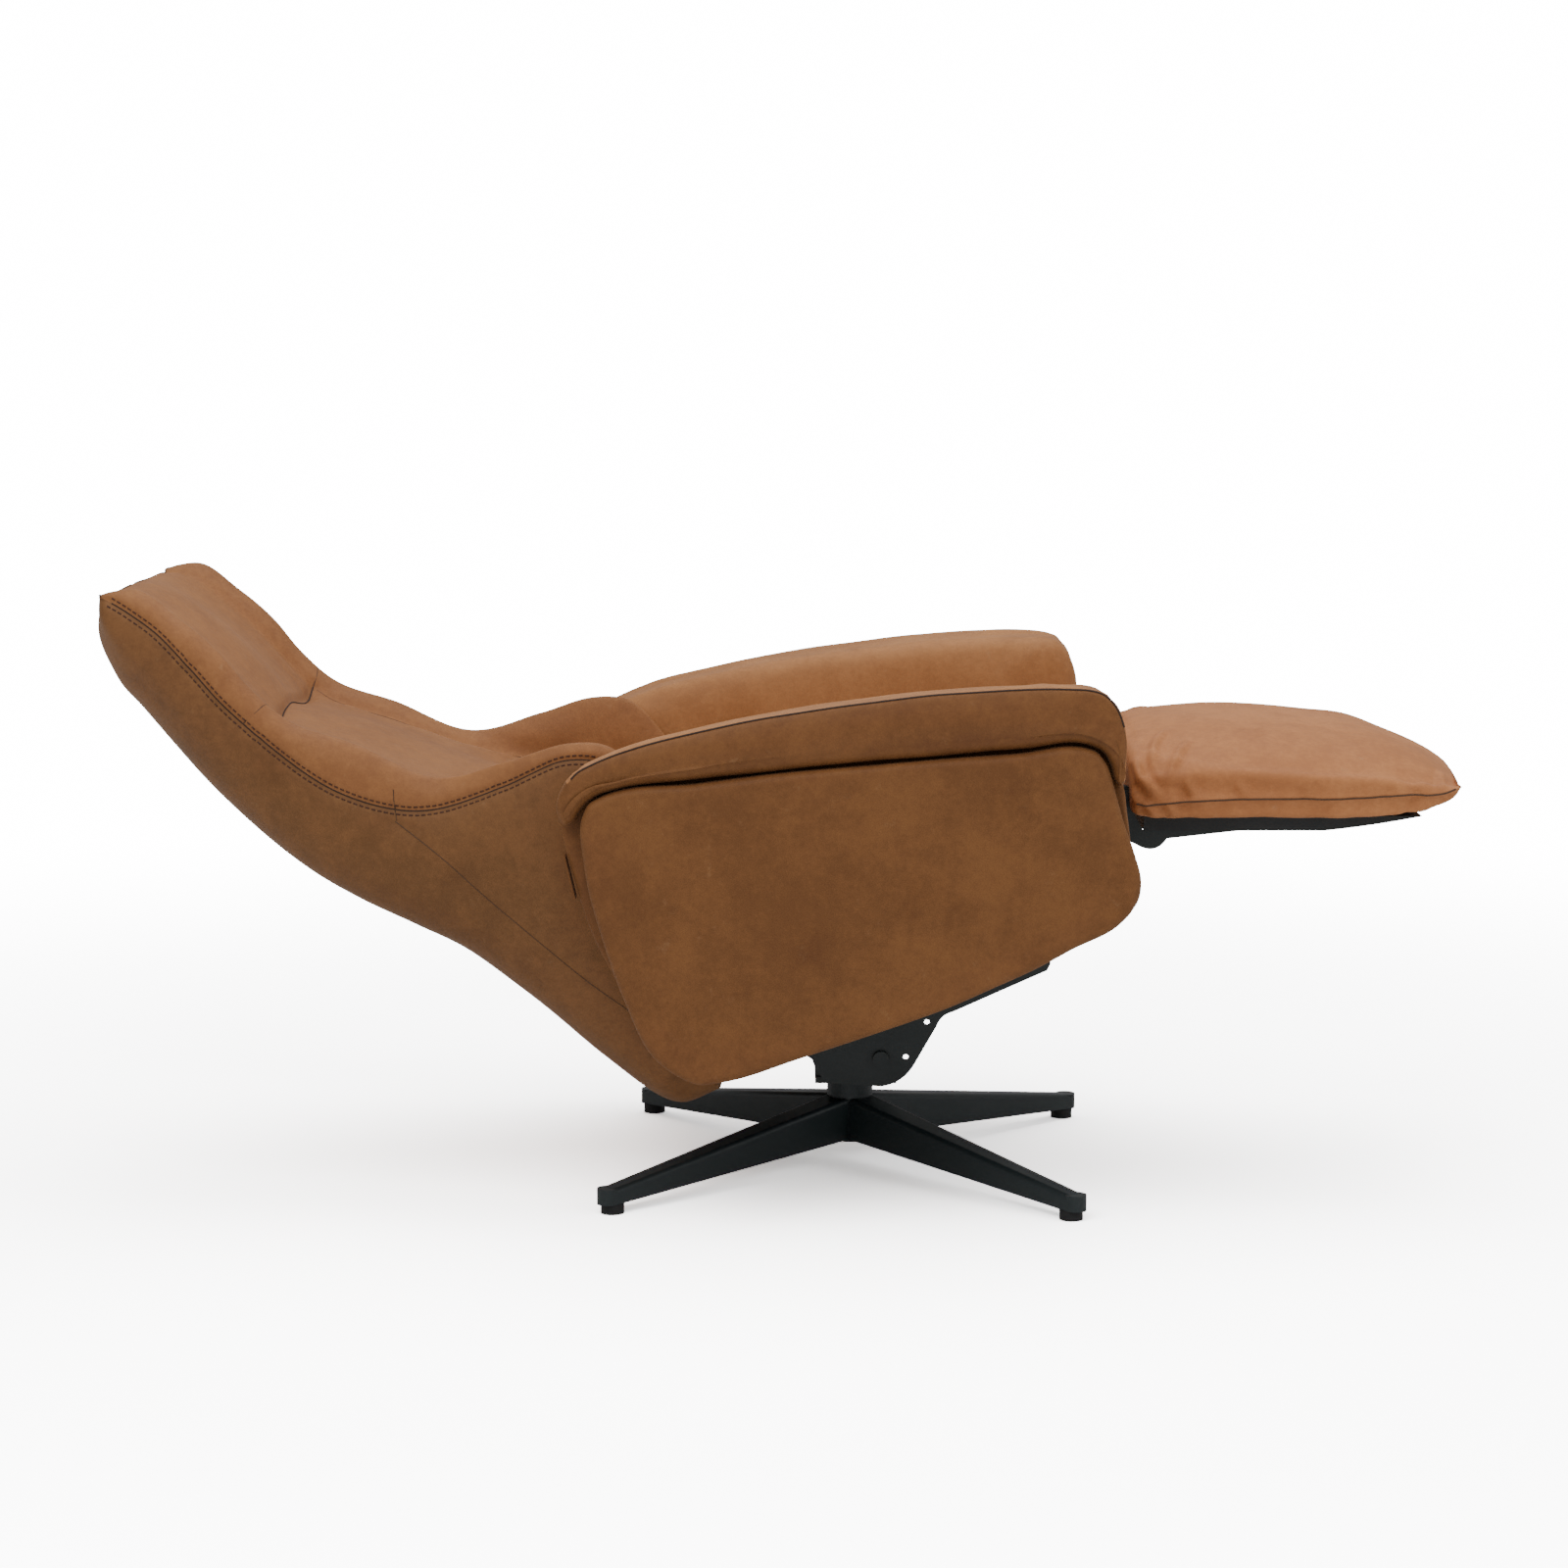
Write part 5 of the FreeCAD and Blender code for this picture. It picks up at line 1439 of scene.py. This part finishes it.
class ARMCHAIR_OT_stage(bpy.types.Operator):
    """Set up the pale floor, the soft lights and the camera"""
    bl_idname = "armchair.stage"
    bl_label = "Studio"

    def execute(self, context):
        studio = context.scene.armchair_studio
        floor_mesh = bpy.data.meshes.new("studio_floor")
        work = bmesh.new()
        bmesh.ops.create_circle(work, cap_ends=True, segments=96, radius=60.0)
        work.to_mesh(floor_mesh)
        work.free()
        floor = bpy.data.objects.new("studio_floor", floor_mesh)
        context.scene.collection.objects.link(floor)
        paint = bpy.data.materials.new("studio_floor")
        paint.use_nodes = True
        tree = paint.node_tree
        shader = tree.nodes["Principled BSDF"]
        shader.inputs["Base Color"].default_value = (*studio.floor, 1)
        shader.inputs["Roughness"].default_value = 0.6
        shader.inputs["Specular IOR Level"].default_value = 0.2
        bright = tree.nodes.new("ShaderNodeBsdfDiffuse")
        bright.inputs["Color"].default_value = (studio.floor_seen,) * 3 + (1,)
        far = tree.nodes.new("ShaderNodeEmission")
        far.inputs["Strength"].default_value = studio.backdrop
        where = tree.nodes.new("ShaderNodeTexCoord")
        reach = tree.nodes.new("ShaderNodeVectorMath")
        reach.operation = "LENGTH"
        tree.links.new(where.outputs["Object"], reach.inputs[0])
        fade = tree.nodes.new("ShaderNodeMapRange")
        fade.interpolation_type = "SMOOTHSTEP"
        fade.inputs["From Min"].default_value = 1.1
        fade.inputs["From Max"].default_value = 3.2
        tree.links.new(reach.outputs["Value"], fade.inputs["Value"])
        seen = tree.nodes.new("ShaderNodeMixShader")
        tree.links.new(fade.outputs["Result"], seen.inputs[0])
        tree.links.new(bright.outputs[0], seen.inputs[1])
        tree.links.new(far.outputs[0], seen.inputs[2])
        seen_instead(tree, shader, seen, tree.nodes["Material Output"])
        dressed(floor, paint)

        world = bpy.data.worlds.new("studio")
        world.use_nodes = True
        tree = world.node_tree
        sky = tree.nodes["Background"]
        sky.inputs["Strength"].default_value = studio.ambient
        backdrop = tree.nodes.new("ShaderNodeBackground")
        backdrop.inputs["Color"].default_value = (1, 1, 1, 1)
        backdrop.inputs["Strength"].default_value = studio.backdrop
        where = tree.nodes.new("ShaderNodeTexCoord")
        parts = tree.nodes.new("ShaderNodeSeparateXYZ")
        tree.links.new(where.outputs["Generated"], parts.inputs[0])
        rise = tree.nodes.new("ShaderNodeMapRange")
        rise.inputs["From Min"].default_value = -0.2
        rise.inputs["From Max"].default_value = 0.9
        rise.inputs["To Min"].default_value = 0.45
        rise.inputs["To Max"].default_value = 1.6
        tree.links.new(parts.outputs["Z"], rise.inputs["Value"])
        tree.links.new(rise.outputs["Result"], sky.inputs["Color"])
        seen_instead(tree, sky, backdrop, tree.nodes["World Output"])
        context.scene.world = world

        for name, place_at, aim, size, power in (
                ("key", (-1.0, -2.2, 3.0), (0, 0, 0.4), 2.4, studio.key),
                ("fill", (2.8, -1.6, 2.2), (0.1, 0, 0.4), 2.0, studio.key * 0.40),
                ("top", (0.2, 0.6, 3.4), (0, 0, 0.4), 2.6, studio.key * 0.9)):
            lamp = bpy.data.lights.new(name, "AREA")
            lamp.shape = "SQUARE"
            lamp.size = size
            lamp.energy = power
            light = bpy.data.objects.new(name, lamp)
            light.location = place_at
            light.rotation_euler = (Vector(aim) - Vector(place_at)).to_track_quat("-Z", "Y").to_euler()
            context.scene.collection.objects.link(light)

        camera = bpy.data.cameras.new("camera")
        camera.lens = studio.lens
        camera.sensor_width = 36.0
        eye = bpy.data.objects.new("camera", camera)
        eye.location = CAMERA_PLACE
        eye.rotation_euler = (math.pi / 2 - CAMERA_DOWN, 0, 0)
        context.scene.collection.objects.link(eye)
        context.scene.camera = eye
        return {"FINISHED"}


# ------------------------------------------------------------------ add-on


class ARMCHAIR_PT_panel(bpy.types.Panel):
    """Lists the upholstery steps and their settings"""
    bl_label = "Recliner armchair"
    bl_idname = "ARMCHAIR_PT_panel"
    bl_space_type = "VIEW_3D"
    bl_region_type = "UI"
    bl_category = "Armchair"

    def draw(self, context):
        for group in (context.scene.armchair_leather, context.scene.armchair_seams,
                      context.scene.armchair_padding, context.scene.armchair_studio):
            for item in group.bl_rna.properties:
                if item.identifier not in ("rna_type", "name"):
                    self.layout.prop(group, item.identifier)
        for operator in OPERATORS:
            self.layout.operator(operator.bl_idname)


GROUPS = (("armchair_leather", LeatherSettings), ("armchair_seams", SeamSettings),
          ("armchair_padding", PaddingSettings), ("armchair_studio", StudioSettings))
OPERATORS = (ARMCHAIR_OT_frame, ARMCHAIR_OT_back, ARMCHAIR_OT_seat, ARMCHAIR_OT_arms,
             ARMCHAIR_OT_footrest, ARMCHAIR_OT_stage)


def register():
    for name, settings in GROUPS:
        bpy.utils.register_class(settings)
        setattr(bpy.types.Scene, name, PointerProperty(type=settings))
    for item in (*OPERATORS, ARMCHAIR_PT_panel):
        bpy.utils.register_class(item)


def unregister():
    for item in (ARMCHAIR_PT_panel, *reversed(OPERATORS)):
        bpy.utils.unregister_class(item)
    for name, settings in reversed(GROUPS):
        delattr(bpy.types.Scene, name)
        bpy.utils.unregister_class(settings)


def main():
    register()
    for operator in OPERATORS:
        getattr(bpy.ops.armchair, operator.bl_idname.split(".")[1])()


if __name__ == "__main__":
    main()
